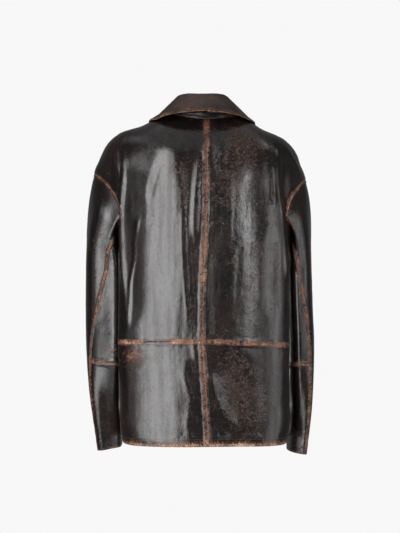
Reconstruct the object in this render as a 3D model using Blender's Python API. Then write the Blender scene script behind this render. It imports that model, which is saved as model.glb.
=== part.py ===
"""An oversized worn leather coat, hollow, as it hangs on the shoulders of its wearer.

Metres, +Z up, the front faces -Y and the coat's left side is +X. The origin lies midway between the
two points where the shoulder seams meet the neck, at the height where the shoulders carry the coat.
Every leather piece is a wall: a form gives its outer face, and the wall lies inside that face.
"""

import math

import bpy
import numpy as np
from mathutils import Vector
from mathutils.kdtree import KDTree

# Driving sizes, in metres.
MM = 0.001
LEATHER = 2.0 * MM
COLLAR_LEATHER = 2.6 * MM
SEAM_GAP = 0.38 * MM
SLEEVE_CLEARANCE = 2.2 * MM
UNDERARM_CLEARANCE = 4.2 * MM
COLLAR_CLEARANCE = 2.8 * MM
FRONT_OVERLAP = 22 * MM
FRONT_LAP_STEP = 3.4 * MM
FRONT_LAP_FULL = 30 * MM
FRONT_LAP_END = 85 * MM
ARMHOLE_BACK_DEPTH = 0.36
ARMHOLE_FRONT_DEPTH = 0.30
BUTTON_RADIUS = 11 * MM
BUTTON_THICKNESS = 3.6 * MM
BUTTON_RIM = 1.0 * MM
BUTTON_HOLE_RADIUS = 1.0 * MM
BUTTON_HOLE_PLACE = 2.6 * MM
BUTTON_SHANK = 0.6 * MM
BUTTON_DROPS = (0.060, 0.186, 0.312, 0.438, 0.564)

# Grid divisions.
BACK_COLUMNS = 10
FRONT_COLUMNS = 10
YOKE_ROWS = 6
ARMHOLE_ROWS = 8
SIDE_ROWS = 5
SKIRT_ROWS = 5
SLEEVE_TOP_COLUMNS = 9
SLEEVE_UNDER_COLUMNS = 7
SLEEVE_HEAD_ROWS = 5
COLLAR_FRONT_SKIP = 2
STAND_ROWS = 2
RING_SAMPLES = 81

# The body's rings, from the neck seam to the hem, in millimetres. drop is the way down the centre back.
# Each ring goes through its centre back, the corner behind the arm, the side, the chest corner and the
# centre front. drift moves the centre back sideways; lean moves the left and right sides together.
BODY_COLUMNS = (
    "drop", "back_y", "back_z", "corner_x", "corner_y", "corner_z", "side_x", "side_y", "side_z",
    "chest_x", "chest_y", "chest_z", "front_y", "front_z", "drift", "lean_x", "lean_z",
)
BODY_RINGS = (
    (0, 72, -16, 60, 50, -8, 86, 2, 0, 62, -46, -40, -64, -84, -4, 3, 2),
    (44, 98, -51, 106, 76, -38, 133, 0, -31, 102, -80, -84, -100, -136, -4, 5, 4),
    (88, 119, -89, 144, 89, -71, 185, -4, -51, 134, -100, -127, -124, -180, -4, 6.5, 6.5),
    (117, 128, -117, 162, 90, -99, 210, -8, -75, 146, -110, -153, -134, -206, -3.5, 8, 7),
    (147, 133, -146, 172, 89, -127, 225, -10, -108, 152, -116, -179, -142, -231, -3.5, 9.5, 7),
    (176, 136, -175, 178, 85, -156, 237, -12, -142, 155, -119, -204, -147, -254, -3, 10, 7),
    (213, 138, -212, 183, 81, -200, 223, -16, -195, 157, -121, -238, -150, -278, -3, 6, 5),
    (256, 138, -255, 185, 78, -248, 200, -20, -250, 158, -122, -273, -152, -302, -1, 2, 2),
    (301, 137, -300, 185, 77, -300, 174, -22, -302, 158, -122, -308, -153, -330, 1, 0, 0),
    (401, 134, -400, 186, 76, -401, 167, -24, -401, 158, -122, -402, -154, -410, 5, 0, 1),
    (503, 132, -502, 187, 75, -508, 166, -24, -509, 156, -120, -509, -152, -508, 5.5, 0, 5),
    (616, 131, -615, 184, 76, -617, 170, -20, -617, 154, -118, -616, -150, -615, -1, 0, 2),
    (692, 130, -691, 181, 80, -692, 178, -14, -690, 151, -118, -690, -147, -690, -5, 0, 1),
    (730, 130, -729, 168, 86, -729, 183, -4, -727, 150, -118, -727, -146, -728, -6.5, 0, 0),
)
SHOULDER_ROW, UNDERARM_ROW, WAIST_SEAM_ROW = 5, 8, 10

# The sleeves' sections, in millimetres: the outermost and innermost x, and how far back and front each
# reaches, at a height. tilt lifts the inner side. back_seam is the back seam's angle, from the outside
# round the back.
SLEEVE_COLUMNS = ("z", "outer_x", "inner_x", "back_y", "front_y", "tilt", "back_seam")
SLEEVE_SECTIONS = {
    "left": (
        (-345, 266, 182, 54, -112, 0, 98),
        (-430, 267, 185, 49, -114, 0, 77),
        (-494, 267, 187, 44, -116, -4, 57),
        (-548, 265, 188, 39, -117, -8, 46),
        (-620, 259, 189, 31, -118, 0, 39),
        (-690, 249, 187, 21, -118, 5, 30),
        (-752, 239, 187, 12, -116, 9, 26),
    ),
    "right": (
        (-350, 240, 182, 54, -112, 0, 92),
        (-432, 243, 185, 49, -114, 0, 77),
        (-498, 246, 188, 44, -116, -3, 62),
        (-552, 246, 189, 39, -117, -7, 50),
        (-630, 243, 190, 31, -118, 0, 48),
        (-698, 237, 189, 21, -118, 3, 38),
        (-760, 229, 187, 12, -116, 6, 33),
    ),
}
SLEEVE_SEAM_SECTION = 3
ARMHOLE_BACK_SEAM = 67.5
HEAD_SEAM_BOW = 14
SLEEVE_INSEAM = 225
SLEEVE_SQUARENESS = 0.9
SLEEVE_HEAD_SPREAD = 0.28
SLEEVE_SIDE_SPREAD = 0.5
SLEEVE_SIDE_TUCK = 0.15

# The collar's sections from the centre back to its front end, in millimetres: the top of its fold, and
# the leaf's edge. along is the share of the half neck seam; belly is how far the leaf swells.
COLLAR_COLUMNS = ("along", "fold_x", "fold_y", "fold_z", "edge_x", "edge_y", "edge_z", "belly", "roll")
COLLAR_SECTIONS = (
    (0.00, 0, 62, 40, 0, 107, -2, 3, 5.0),
    (0.20, 34, 54, 41, 52, 101, -6, 3, 5.0),
    (0.38, 53, 34, 38, 90, 72, -12, 2, 5.0),
    (0.56, 60, 0, 26, 117, 6, -24, 1, 5.0),
    (0.78, 49, -46, -22, 108, -74, -72, 4, 4.5),
    (1.00, 13, -76, -62, 62, -116, -130, 3, 3.8),
)
COLLAR_LEAN = 5 * MM
STAND_LIFT = 0.5 * MM
SPLIT_BELOW_FOLD = 9 * MM

# The largest folds on the body, in millimetres. across is the way round from the centre back or the
# centre front, left is positive; height is positive where the leather stands out.
FOLD_COLUMNS = ("panel", "from_across", "from_z", "to_across", "to_z", "half_width", "height")
BODY_FOLDS = (
    ("back", 0, -40, 4, -500, 48, -2.5),
    ("back", 172, -215, 156, -470, 22, -6),
    ("back", -120, -230, -112, -480, 26, 4),
    ("back", -150, -240, -160, -470, 22, -4),
    ("back", 60, -520, 55, -790, 42, 5),
    ("back", -70, -520, -60, -790, 40, -5),
    ("front", 120, -180, 60, -520, 36, 5),
    ("front", -120, -190, -70, -560, 36, 5),
    ("front", 150, -330, 130, -700, 30, -5),
    ("front", -150, -340, -135, -700, 30, -5),
)
SLEEVE_FOLD_COLUMNS = ("angle", "height_z", "half_angle", "half_z", "height")
SLEEVE_FOLDS = (
    (120, -330, 60, 26, -5),
    (250, -395, 70, 24, -6),
    (160, -455, 70, 22, 4),
    (260, -500, 60, 22, 5),
    (110, -640, 60, 28, -4),
    (290, -690, 60, 26, 4),
)

FINISHES = {
    "shell_leather": ((0.030, 0.021, 0.018), 0.34),
    "collar_leather": ((0.050, 0.030, 0.024), 0.42),
    "button_horn": ((0.035, 0.022, 0.015), 0.30),
}


def smooth(knots, values, at):
    """A smooth curve through the knots, each slope weighted towards its shorter neighbour."""
    knots, values = np.asarray(knots, float), np.asarray(values, float)
    steps = np.diff(knots)[:, None]
    rises = np.diff(values, axis=0) / steps
    slopes = np.vstack([rises[:1], rises[-1:]])
    inner = (rises[:-1] * steps[1:] + rises[1:] * steps[:-1]) / (steps[1:] + steps[:-1])
    slopes = np.vstack([slopes[:1], inner, slopes[1:]])
    at = np.clip(np.atleast_1d(np.asarray(at, float)), knots[0], knots[-1])
    i = np.clip(np.searchsorted(knots, at, side="right") - 1, 0, len(steps) - 1)
    step = steps[i]
    t = ((at - knots[i]) / step[:, 0])[:, None]
    start = (1 + 2 * t) * (1 - t) ** 2 * values[i] + t * (1 - t) ** 2 * step * slopes[i]
    end = t * t * (3 - 2 * t) * values[i + 1] + t * t * (t - 1) * step * slopes[i + 1]
    return start + end


def ease(x):
    """0 below 0, 1 above 1, smooth between."""
    x = np.clip(x, 0, 1)
    return x * x * (3 - 2 * x)


RINGS = np.array(BODY_RINGS, float) * MM
DROPS = RINGS[:, 0]
SHOULDER_DROP, UNDERARM_DROP = DROPS[SHOULDER_ROW], DROPS[UNDERARM_ROW]
WAIST_SEAM_DROP, HEM_DROP = DROPS[WAIST_SEAM_ROW], DROPS[-1]


def ring_lines(drop, sign):
    """The ring's back half, centre back to side, and its front half, centre front to side, as polylines."""
    size = dict(zip(BODY_COLUMNS, smooth(DROPS, RINGS, drop)[0]))

    def corner(name, share, way):
        x = way * size[name + "_x"] + share * size["lean_x"] + (1 - share) * size["drift"]
        return (x, size[name + "_y"], size[name + "_z"] + way * share * size["lean_z"])

    back = (size["drift"], size["back_y"], size["back_z"])
    front = (0.0, size["front_y"], size["front_z"])
    points = np.array([
        corner("corner", 0.7, -sign), back, corner("corner", 0.7, sign), corner("side", 1.0, sign),
        corner("chest", 0.7, sign), front, corner("chest", 0.7, -sign),
    ])
    knots = np.concatenate([[0], np.cumsum(np.linalg.norm(np.diff(points, axis=0), axis=1))])
    back_half = smooth(knots, points, np.linspace(knots[1], knots[3], RING_SAMPLES))
    front_half = smooth(knots, points, np.linspace(knots[5], knots[3], RING_SAMPLES))
    return {"back": back_half, "front": front_half}


def along_line(line, share):
    """Points at shares of a polyline's length, and the length. Shares below 0 go on past its start."""
    steps = np.linalg.norm(np.diff(line, axis=0), axis=1)
    at = np.concatenate([[0], np.cumsum(steps)])
    wanted = np.asarray(share, float) * at[-1]
    points = np.stack([np.interp(wanted, at, line[:, k]) for k in range(3)], axis=1)
    return points, at[-1]


def body_base(drop, share, sign, panel):
    """Points on the smooth form, for one drop and many shares of the way from the centre to the side.

    Shares below 0 go on round past the centre, and shares above 1 past the side. Also the half's length.
    """
    lines = ring_lines(drop, sign)
    share = np.asarray(share, float)
    points, length = along_line(lines[panel], np.clip(share, 0, 1))
    before, after = share < 0, share > 1
    if before.any():
        points[before] = along_line(ring_lines(drop, -sign)[panel], -share[before])[0]
    if after.any():
        other = lines["front" if panel == "back" else "back"]
        scale = length / along_line(other, np.array([0.0]))[1]
        points[after] = along_line(other, 1 - (share[after] - 1) * scale)[0]
    return points, length


def body_normals(drop, share, sign, panel):
    """Outward normals of the smooth form, by small steps down and across."""
    step, nudge = 2.0 * MM, 0.012
    down = body_base(min(drop + step, HEM_DROP), share, sign, panel)[0]
    down = down - body_base(max(drop - step, 0), share, sign, panel)[0]
    across = body_base(drop, share + nudge, sign, panel)[0]
    across = across - body_base(drop, share - nudge, sign, panel)[0]
    normal = np.cross(down, across) * (-sign if panel == "back" else sign)
    return normal / np.linalg.norm(normal, axis=1)[:, None]


def fold_height(panel, across, z):
    """How far the folds lift the leather at points on one panel."""
    total = np.zeros_like(across)
    for row in BODY_FOLDS:
        fold = dict(zip(FOLD_COLUMNS, row))
        if fold["panel"] != panel:
            continue
        start = np.array([fold["from_across"], fold["from_z"]]) * MM
        way = np.array([fold["to_across"], fold["to_z"]]) * MM - start
        length = np.linalg.norm(way)
        way = way / length
        offset = np.stack([across, z], axis=-1) - start
        along = offset @ way / length
        off = np.abs(offset[..., 0] * way[1] - offset[..., 1] * way[0]) / (fold["half_width"] * MM)
        taper = ease(along / 0.3) * ease((1 - along) / 0.3)
        total += fold["height"] * MM * np.exp(-off ** 2) * taper
    return total


def body_points(drop, share, sign, panel, lap=0.0):
    """(outer points, inward-wall points) of a body row. lap steps the under front in beneath the upper."""
    share = np.asarray(share, float)
    base, length = body_base(drop, share, sign, panel)
    normal = body_normals(drop, share, sign, panel)
    across = sign * share * length
    edge = ease((share.max() - share) * length / (40 * MM))
    lift = fold_height(panel, across, base[:, 2]) * edge
    lift = lift * ease(drop / (60 * MM))
    if lap:
        from_centre = share * length
        under = 1 - ease((from_centre - FRONT_LAP_FULL) / (FRONT_LAP_END - FRONT_LAP_FULL))
        lift = lift - lap * under
    outer = base + normal * lift[:, None]
    return outer, outer - normal * LEATHER


def armhole(angle):
    """(drop, share) of the armhole's edge at an angle: 0 at the shoulder, pi at the underarm.

    The upper half is round, and the lower half runs down to a blunt point.
    """
    middle = (SHOULDER_DROP + UNDERARM_DROP) / 2
    half = (UNDERARM_DROP - SHOULDER_DROP) / 2
    depth = ARMHOLE_BACK_DEPTH if angle <= math.pi else ARMHOLE_FRONT_DEPTH
    turn = angle if angle <= math.pi else 2 * math.pi - angle
    if turn <= math.pi / 2:
        return middle - half * math.cos(turn), 1 - depth * math.sin(turn)
    lower = turn / (math.pi / 2) - 1
    return middle + half * lower, 1 - depth * (1 - lower ** 1.15)


def body_rows(panel, start, end):
    """(drop, share at the side) rows between two drops, with the armhole's rows at its own angles."""
    rows = [(d, 1.0) for d in np.linspace(0, SHOULDER_DROP, YOKE_ROWS + 1)]
    for k in range(1, ARMHOLE_ROWS):
        angle = math.pi * k / ARMHOLE_ROWS
        rows.append(armhole(angle if panel == "back" else 2 * math.pi - angle))
    rows += [(d, 1.0) for d in np.linspace(UNDERARM_DROP, WAIST_SEAM_DROP, SIDE_ROWS + 1)]
    rows += [(d, 1.0) for d in np.linspace(WAIST_SEAM_DROP, HEM_DROP, SKIRT_ROWS + 1)[1:]]
    near = 1e-6
    return [row for row in rows if start - near <= row[0] <= end + near]


def front_start(drop, sign):
    """The share, below 0, at which a front ends past the centre front."""
    return -FRONT_OVERLAP / body_base(drop, [0.0], sign, "front")[1]


def body_panel(sign, panel, start, end, lap=0.0):
    """Grids of a panel's outer and inner points. The rows run down, the columns from centre to side."""
    columns = BACK_COLUMNS if panel == "back" else FRONT_COLUMNS
    outer, inner = [], []
    for drop, side in body_rows(panel, start, end):
        first = front_start(drop, sign) if panel == "front" else 0.0
        share = np.linspace(first, 1, columns + 1)
        share = share * (1 - (1 - side) * np.clip(share, 0, 1))
        row = body_points(drop, share, sign, panel, lap)
        outer.append(row[0])
        inner.append(row[1])
    return np.array(outer), np.array(inner)


def armhole_point(sign, angle):
    """A point of the armhole's edge on the body's form, with the form's normal there."""
    drop, share = armhole(angle)
    panel = "back" if angle <= math.pi else "front"
    point = body_base(drop, [share], sign, panel)[0][0]
    return point, body_normals(drop, np.array([share]), sign, panel)[0]


def armhole_loop(sign):
    """The armhole's edge as the body's panels make it: straight between the rows."""
    angles = np.arange(0, 2 * ARMHOLE_ROWS + 1) * math.pi / ARMHOLE_ROWS
    found = [armhole_point(sign, angle % (2 * math.pi)) for angle in angles]
    points = np.array([point + normal * SEAM_GAP for point, normal in found])
    return np.degrees(angles), points


def sleeve_section(side, sign, z_row, degrees):
    """Points of the sleeve's flattened oval at one row of its sections, and the row's back seam angle."""
    table = np.array(SLEEVE_SECTIONS[side], float)
    knots = np.arange(len(table))
    size = dict(zip(SLEEVE_COLUMNS, smooth(knots, table, z_row)[0]))
    angle = np.radians(degrees)
    cos, sin = np.cos(angle), np.sin(angle)
    round_x = np.sign(cos) * np.abs(cos) ** SLEEVE_SQUARENESS
    round_y = np.sign(sin) * np.abs(sin) ** SLEEVE_SQUARENESS
    middle_x, half_x = (size["outer_x"] + size["inner_x"]) / 2, (size["outer_x"] - size["inner_x"]) / 2
    middle_y, half_y = (size["back_y"] + size["front_y"]) / 2, (size["back_y"] - size["front_y"]) / 2
    rise = size["tilt"] * MM * (1 - cos) / 2
    x = sign * (middle_x + half_x * round_x) * MM
    y = (middle_y + half_y * round_y) * MM
    z = np.full_like(x, size["z"] * MM) + rise
    return np.stack([x, y, z], axis=1), size["back_seam"]


def sleeve_fold_height(degrees, z):
    total = np.zeros_like(z)
    for row in SLEEVE_FOLDS:
        fold = dict(zip(SLEEVE_FOLD_COLUMNS, row))
        turn = (degrees - fold["angle"] + 180) % 360 - 180
        across = turn / fold["half_angle"]
        along = (z - fold["height_z"] * MM + turn * 0.25 * MM) / (fold["half_z"] * MM)
        total += fold["height"] * MM * np.exp(-across ** 2 - along ** 2)
    return total


def sleeve_base(side, sign, row, degrees, loop):
    """Points of the sleeve's smooth form. Rows 0 to 1 lie between the armhole and the first section."""
    degrees = np.asarray(degrees, float)
    if row >= 1:
        return sleeve_section(side, sign, row - 1, degrees)[0]
    turn = degrees % 360
    start = np.stack([np.interp(turn, loop[0], loop[1][:, k]) for k in range(3)], axis=1)
    end = sleeve_section(side, sign, 0, degrees)[0]
    after = sleeve_section(side, sign, 0.1, degrees)[0]
    length = np.linalg.norm(end - start, axis=1)[:, None]
    angle = np.radians(degrees)
    beside = np.abs(np.sin(angle))
    leave = np.stack([
        sign * (SLEEVE_HEAD_SPREAD * np.cos(angle) + SLEEVE_SIDE_SPREAD * beside ** 1.5),
        -SLEEVE_SIDE_TUCK * np.sin(angle) * beside,
        -1.0 + 0.3 * beside,
    ], axis=1) * length
    arrive = (after - end) / np.linalg.norm(after - end, axis=1)[:, None] * length
    t = row
    a, b = (1 + 2 * t) * (1 - t) ** 2, t * (1 - t) ** 2
    c, d = t * t * (3 - 2 * t), t * t * (t - 1)
    return a * start + b * leave + c * end + d * arrive


def sleeve_normals(side, sign, row, degrees, loop):
    step, nudge = 0.02, 1.5
    last = len(SLEEVE_SECTIONS[side])
    down = sleeve_base(side, sign, min(row + step, last), degrees, loop)
    down = down - sleeve_base(side, sign, max(row - step, 0), degrees, loop)
    across = sleeve_base(side, sign, row, degrees + nudge, loop)
    across = across - sleeve_base(side, sign, row, degrees - nudge, loop)
    normal = np.cross(down, across) * sign
    return normal / np.linalg.norm(normal, axis=1)[:, None]


def body_tree(sign):
    """A search tree of dense points on the body's form, with their normals."""
    spots = []
    for panel in ("back", "front"):
        for drop in np.arange(0, HEM_DROP, 8 * MM):
            share = np.linspace(0.3, 1.0, 40)
            points = body_points(drop, share, sign, panel)[0]
            normals = body_normals(drop, share, sign, panel)
            spots += list(zip(points, normals))
    return tree_of(spots)


def tree_of(spots):
    tree = KDTree(len(spots))
    for number, (point, _) in enumerate(spots):
        tree.insert(Vector(point), number)
    tree.balance()
    return tree, spots


def cleared(points, found, clearance):
    """The points, each moved out to lie at least the clearance off the surface that the tree holds."""
    tree, spots = found
    moved = points.copy()
    for number, point in enumerate(points):
        near = spots[tree.find(Vector(point))[1]]
        off = float((point - near[0]) @ near[1])
        if off < clearance:
            moved[number] = point + near[1] * (clearance - off)
    return moved


def sleeve_rows():
    """Row numbers from the armhole to the cuff: close together in the sleeve head, then down the arm."""
    head = np.linspace(0, 1, SLEEVE_HEAD_ROWS + 1)
    return np.concatenate([head, np.arange(1.5, 7.01, 0.5)])


def seam_angle(side, sign, row):
    """The back seam's angle at a row."""
    if row >= 1:
        return sleeve_section(side, sign, row - 1, np.array([0.0]))[1]
    first = sleeve_section(side, sign, 0, np.array([0.0]))[1]
    bow = HEAD_SEAM_BOW * math.sin(math.pi * row) * ease(row / 0.6)
    return ARMHOLE_BACK_SEAM + (first - ARMHOLE_BACK_SEAM) * ease(row) + bow


def sleeve_panel(side, sign, piece, loop, body):
    """Grids of one sleeve piece: top, under_upper or under_lower."""
    seam_row = SLEEVE_SEAM_SECTION + 1
    rows = sleeve_rows()
    if piece == "under_upper":
        rows = rows[rows <= seam_row]
    if piece == "under_lower":
        rows = rows[rows >= seam_row]
    outer, inner = [], []
    for row in rows:
        back = seam_angle(side, sign, row)
        if piece == "top":
            degrees = np.linspace(SLEEVE_INSEAM - 360, back, SLEEVE_TOP_COLUMNS + 1)
        else:
            degrees = np.linspace(back, SLEEVE_INSEAM, SLEEVE_UNDER_COLUMNS + 1)
        base = sleeve_base(side, sign, row, degrees, loop)
        normal = sleeve_normals(side, sign, row, degrees, loop)
        lift = sleeve_fold_height(degrees, base[:, 2]) * ease(row / 0.6)
        points = base + normal * lift[:, None]
        if row > 0:
            clearance = UNDERARM_CLEARANCE + (SLEEVE_CLEARANCE - UNDERARM_CLEARANCE) * ease(row - 1)
            points = cleared(points, body, clearance * ease(0.4 + row * 3))
        outer.append(points)
        inner.append(points - normal * LEATHER)
    return np.array(outer), np.array(inner)


def neck_places(sign):
    """(along, point, horizontal outward direction) down the half neck seam, at the body's own columns."""
    lap = FRONT_LAP_STEP if sign < 0 else 0.0
    back = np.linspace(0, 1, BACK_COLUMNS + 1)
    front = np.linspace(front_start(0, sign), 1, FRONT_COLUMNS + 1)[:COLLAR_FRONT_SKIP - 1:-1]
    front_points = body_points(0, front, sign, "front", lap)[0]
    points = np.concatenate([body_points(0, back, sign, "back")[0], front_points[1:]])
    front_normals = body_normals(0, front, sign, "front")
    normals = np.concatenate([body_normals(0, back, sign, "back"), front_normals[1:]])
    normals[:, 2] = 0
    normals = normals / np.linalg.norm(normals, axis=1)[:, None]
    at = np.concatenate([[0], np.cumsum(np.linalg.norm(np.diff(points, axis=0), axis=1))])
    return list(zip(at / at[-1], points, normals))


def collar_line(along, foot, away, sign):
    """The collar's face at one place: up the neck side of the stand, over the fold and down the leaf."""
    table = np.array(COLLAR_SECTIONS, float)
    size = dict(zip(COLLAR_COLUMNS, smooth(table[:, 0], table, along)[0]))
    fold = np.array([sign * size["fold_x"], size["fold_y"], size["fold_z"]]) * MM
    edge = np.array([sign * size["edge_x"], size["edge_y"], size["edge_z"]]) * MM
    fold[0] += COLLAR_LEAN
    edge[0] += COLLAR_LEAN
    up = np.array([0, 0, 1.0])
    foot = foot - away * COLLAR_LEATHER + up * STAND_LIFT
    side = edge - fold
    side[2] = 0
    side = side / np.linalg.norm(side)
    roll = size["roll"] * MM
    centre = fold - up * roll
    neck_side = centre - side * roll
    split = neck_side + (foot - neck_side) * min(SPLIT_BELOW_FOLD / np.linalg.norm(foot - neck_side), 0.45)
    turn = [centre + (side * math.cos(a) + up * math.sin(a)) * roll for a in np.radians([155, 90, 25])]
    leaf = [turn[-1] + (edge - turn[-1]) * share for share in (0.22, 0.48, 0.74, 1.0)]
    swell = np.cross(np.cross(edge - turn[-1], up), edge - turn[-1])
    swell = swell / max(np.linalg.norm(swell), 1e-9)
    swell = swell if swell[2] > 0 else -swell
    for number, share in enumerate((0.22, 0.48, 0.74)):
        leaf[number] = leaf[number] + swell * size["belly"] * MM * math.sin(math.pi * share)
    stand = [foot + (split - foot) * share for share in np.linspace(0, 1, STAND_ROWS + 1)]
    return np.array(stand + turn + leaf)


def collar_grids(body):
    """Grids of the whole collar, from its left front end round the neck to its right front end."""
    left, right = neck_places(1)[::-1], neck_places(-1)[1:]
    lines = [collar_line(*place, 1) for place in left] + [collar_line(*place, -1) for place in right]
    outer = np.array(lines).transpose(1, 0, 2)
    down, across = np.gradient(outer, axis=0), np.gradient(outer, axis=1)
    normal = np.cross(down, across)
    normal = normal / np.linalg.norm(normal, axis=2)[..., None]
    leaf = slice(STAND_ROWS + 3, None)
    inner = outer - normal * COLLAR_LEATHER
    inner[0] = outer[0] + np.array([away for _, _, away in left + right]) * COLLAR_LEATHER
    flat = inner[leaf].reshape(-1, 3)
    moved = cleared(flat, body, COLLAR_CLEARANCE).reshape(inner[leaf].shape)
    outer[leaf] += moved - inner[leaf]
    inner[leaf] = moved
    return outer, inner


def shoulders_tree():
    """A search tree of the body's upper surface, for what lies on it."""
    spots = []
    for sign in (1, -1):
        for panel in ("back", "front"):
            for drop in np.arange(6 * MM, 250 * MM, 5 * MM):
                side = 1.0 if drop < SHOULDER_DROP else 0.75
                share = np.linspace(0, side, 50)
                points = body_points(drop, share, sign, panel)[0]
                spots += list(zip(points, body_normals(drop, share, sign, panel)))
    return tree_of(spots)


def material(name):
    colour, roughness = FINISHES[name]
    made = bpy.data.materials.get(name)
    if made:
        return made
    made = bpy.data.materials.new(name)
    made.use_nodes = True
    shader = made.node_tree.nodes["Principled BSDF"]
    shader.inputs["Base Color"].default_value = (*colour, 1.0)
    shader.inputs["Roughness"].default_value = roughness
    shader.inputs["Metallic"].default_value = 0.0
    return made


def trimmed(grid, seams):
    """The grid with its border drawn back by half the seam gap at each seam named."""
    grid = grid.copy()
    borders = {"top": (0, 1), "bottom": (-1, -2)}
    for seam in seams:
        view = grid if seam in borders else grid.transpose(1, 0, 2)
        edge, beside = borders.get(seam) or {"first": (0, 1), "last": (-1, -2)}[seam]
        step = view[beside] - view[edge]
        view[edge] += step / np.linalg.norm(step, axis=1)[:, None] * (SEAM_GAP / 2)
    return grid


def wall(name, grids, seams, finish):
    """One closed wall between two grids of points, as a named object."""
    outer, inner = (trimmed(grid, seams) for grid in grids)
    rows, columns = outer.shape[:2]
    count = rows * columns
    points = np.concatenate([outer.reshape(-1, 3), inner.reshape(-1, 3)])
    number = np.arange(count).reshape(rows, columns)
    faces = []
    for i in range(rows - 1):
        for j in range(columns - 1):
            quad = [number[i, j], number[i + 1, j], number[i + 1, j + 1], number[i, j + 1]]
            faces.append(quad)
            faces.append([k + count for k in reversed(quad)])
    rim = list(number[:, 0]) + list(number[-1, 1:]) + list(number[-2::-1, -1]) + list(number[0, -2:0:-1])
    for a, b in zip(rim, rim[1:] + rim[:1]):
        faces.append([b, a, a + count, b + count])
    mesh = bpy.data.meshes.new(name)
    mesh.from_pydata([tuple(p) for p in points], [], [[int(k) for k in face] for face in faces])
    if volume_of(mesh) < 0:
        mesh.flip_normals()
    mesh.update()
    mesh.shade_smooth()
    mesh.set_sharp_from_angle(angle=math.radians(50))
    mesh.materials.append(material(finish))
    made = bpy.data.objects.new(name, mesh)
    bpy.context.scene.collection.objects.link(made)
    return made


def volume_of(mesh):
    mesh.calc_loop_triangles()
    total = 0.0
    for triangle in mesh.loop_triangles:
        a, b, c = (mesh.vertices[k].co for k in triangle.vertices)
        total += a.dot(b.cross(c)) / 6
    return total


def build_body():
    """Two back pieces above the waist seam and two below it, and a front on each side."""
    for side, sign in (("left", 1), ("right", -1)):
        upper = body_panel(sign, "back", 0, WAIST_SEAM_DROP)
        wall("back_upper_" + side, upper, ("first", "last", "bottom"), "shell_leather")
        lower = body_panel(sign, "back", WAIST_SEAM_DROP, HEM_DROP)
        wall("back_lower_" + side, lower, ("first", "last", "top"), "shell_leather")
        lap = 0.0 if side == "left" else FRONT_LAP_STEP
        front = body_panel(sign, "front", 0, HEM_DROP, lap)
        wall("front_" + side, front, ("last",), "shell_leather")


def build_sleeves():
    seams = {
        "top": ("first", "last", "top"),
        "under_upper": ("first", "last", "top", "bottom"),
        "under_lower": ("first", "last", "top"),
    }
    for side, sign in (("left", 1), ("right", -1)):
        loop = armhole_loop(sign)
        body = body_tree(sign)
        for piece, sewn in seams.items():
            grids = sleeve_panel(side, sign, piece, loop, body)
            wall(f"sleeve_{side}_{piece}", grids, sewn, "shell_leather")


def build_collar():
    """The stand up from the neck seam, and the leaf from inside the fold out to its edge."""
    outer, inner = collar_grids(shoulders_tree())
    stand = outer[:STAND_ROWS + 1], inner[:STAND_ROWS + 1]
    wall("collar_stand", stand, ("bottom",), "collar_leather")
    leaf = outer[STAND_ROWS:], inner[STAND_ROWS:]
    wall("collar_leaf", leaf, ("top",), "collar_leather")


def build_buttons():
    """Four-hole buttons down the front edge, each resting on the highest leather under it."""
    for number, drop in enumerate(BUTTON_DROPS, start=1):
        place = Vector(body_points(drop, np.array([0.0]), 1, "front")[0][0])
        normal = Vector(body_normals(drop, np.array([0.0]), 1, "front")[0])
        rest = 0.0
        for step in (-1, -0.5, 0, 0.5, 1):
            near_drop = drop + step * BUTTON_RADIUS
            length = body_base(near_drop, [0.0], 1, "front")[1]
            share = np.linspace(-1, 1, 9) * BUTTON_RADIUS / length
            for point in body_points(near_drop, share, 1, "front")[0]:
                rest = max(rest, (Vector(point) - place).dot(normal))
        turned(f"button_{number}", place + normal * (rest + BUTTON_SHANK), normal)


def turned(name, place, normal):
    """A dished button: a raised rim round a flat middle with four holes."""
    profile = (
        (BUTTON_RADIUS * 0.92, 0.0), (BUTTON_RADIUS, BUTTON_THICKNESS * 0.35),
        (BUTTON_RADIUS * 0.96, BUTTON_THICKNESS * 0.85), (BUTTON_RADIUS * 0.84, BUTTON_THICKNESS),
        (BUTTON_RADIUS * 0.68, BUTTON_THICKNESS - BUTTON_RIM),
    )
    sides = 14
    points, faces = [], []
    for radius, height in profile:
        for k in range(sides):
            angle = 2 * math.pi * k / sides
            points.append((radius * math.cos(angle), radius * math.sin(angle), height))
    for i in range(len(profile) - 1):
        for k in range(sides):
            a, b = i * sides + k, i * sides + (k + 1) % sides
            faces.append((a, b, b + sides, a + sides))
    faces.append(tuple(range(sides))[::-1])
    faces.append(tuple(range((len(profile) - 1) * sides, len(profile) * sides)))
    mesh = bpy.data.meshes.new(name)
    mesh.from_pydata(points, [], faces)
    mesh.materials.append(material("button_horn"))
    button = bpy.data.objects.new(name, mesh)
    button.location = place
    button.rotation_mode = "QUATERNION"
    button.rotation_quaternion = normal.to_track_quat("Z", "Y")
    bpy.context.scene.collection.objects.link(button)
    drill = bpy.data.objects.get("button_drill") or button_drill()
    for k in range(4):
        angle = math.pi / 4 + k * math.pi / 2
        copy = bpy.data.objects.new(f"{name}_drill_{k}", drill.data)
        copy.parent = button
        copy.location = (BUTTON_HOLE_PLACE * math.cos(angle), BUTTON_HOLE_PLACE * math.sin(angle), 0)
        copy.hide_render = True
        copy.display_type = "WIRE"
        bpy.context.scene.collection.objects.link(copy)
        cut = button.modifiers.new("hole", "BOOLEAN")
        cut.operation = "DIFFERENCE"
        cut.solver = "EXACT"
        cut.object = copy
    return button


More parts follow.
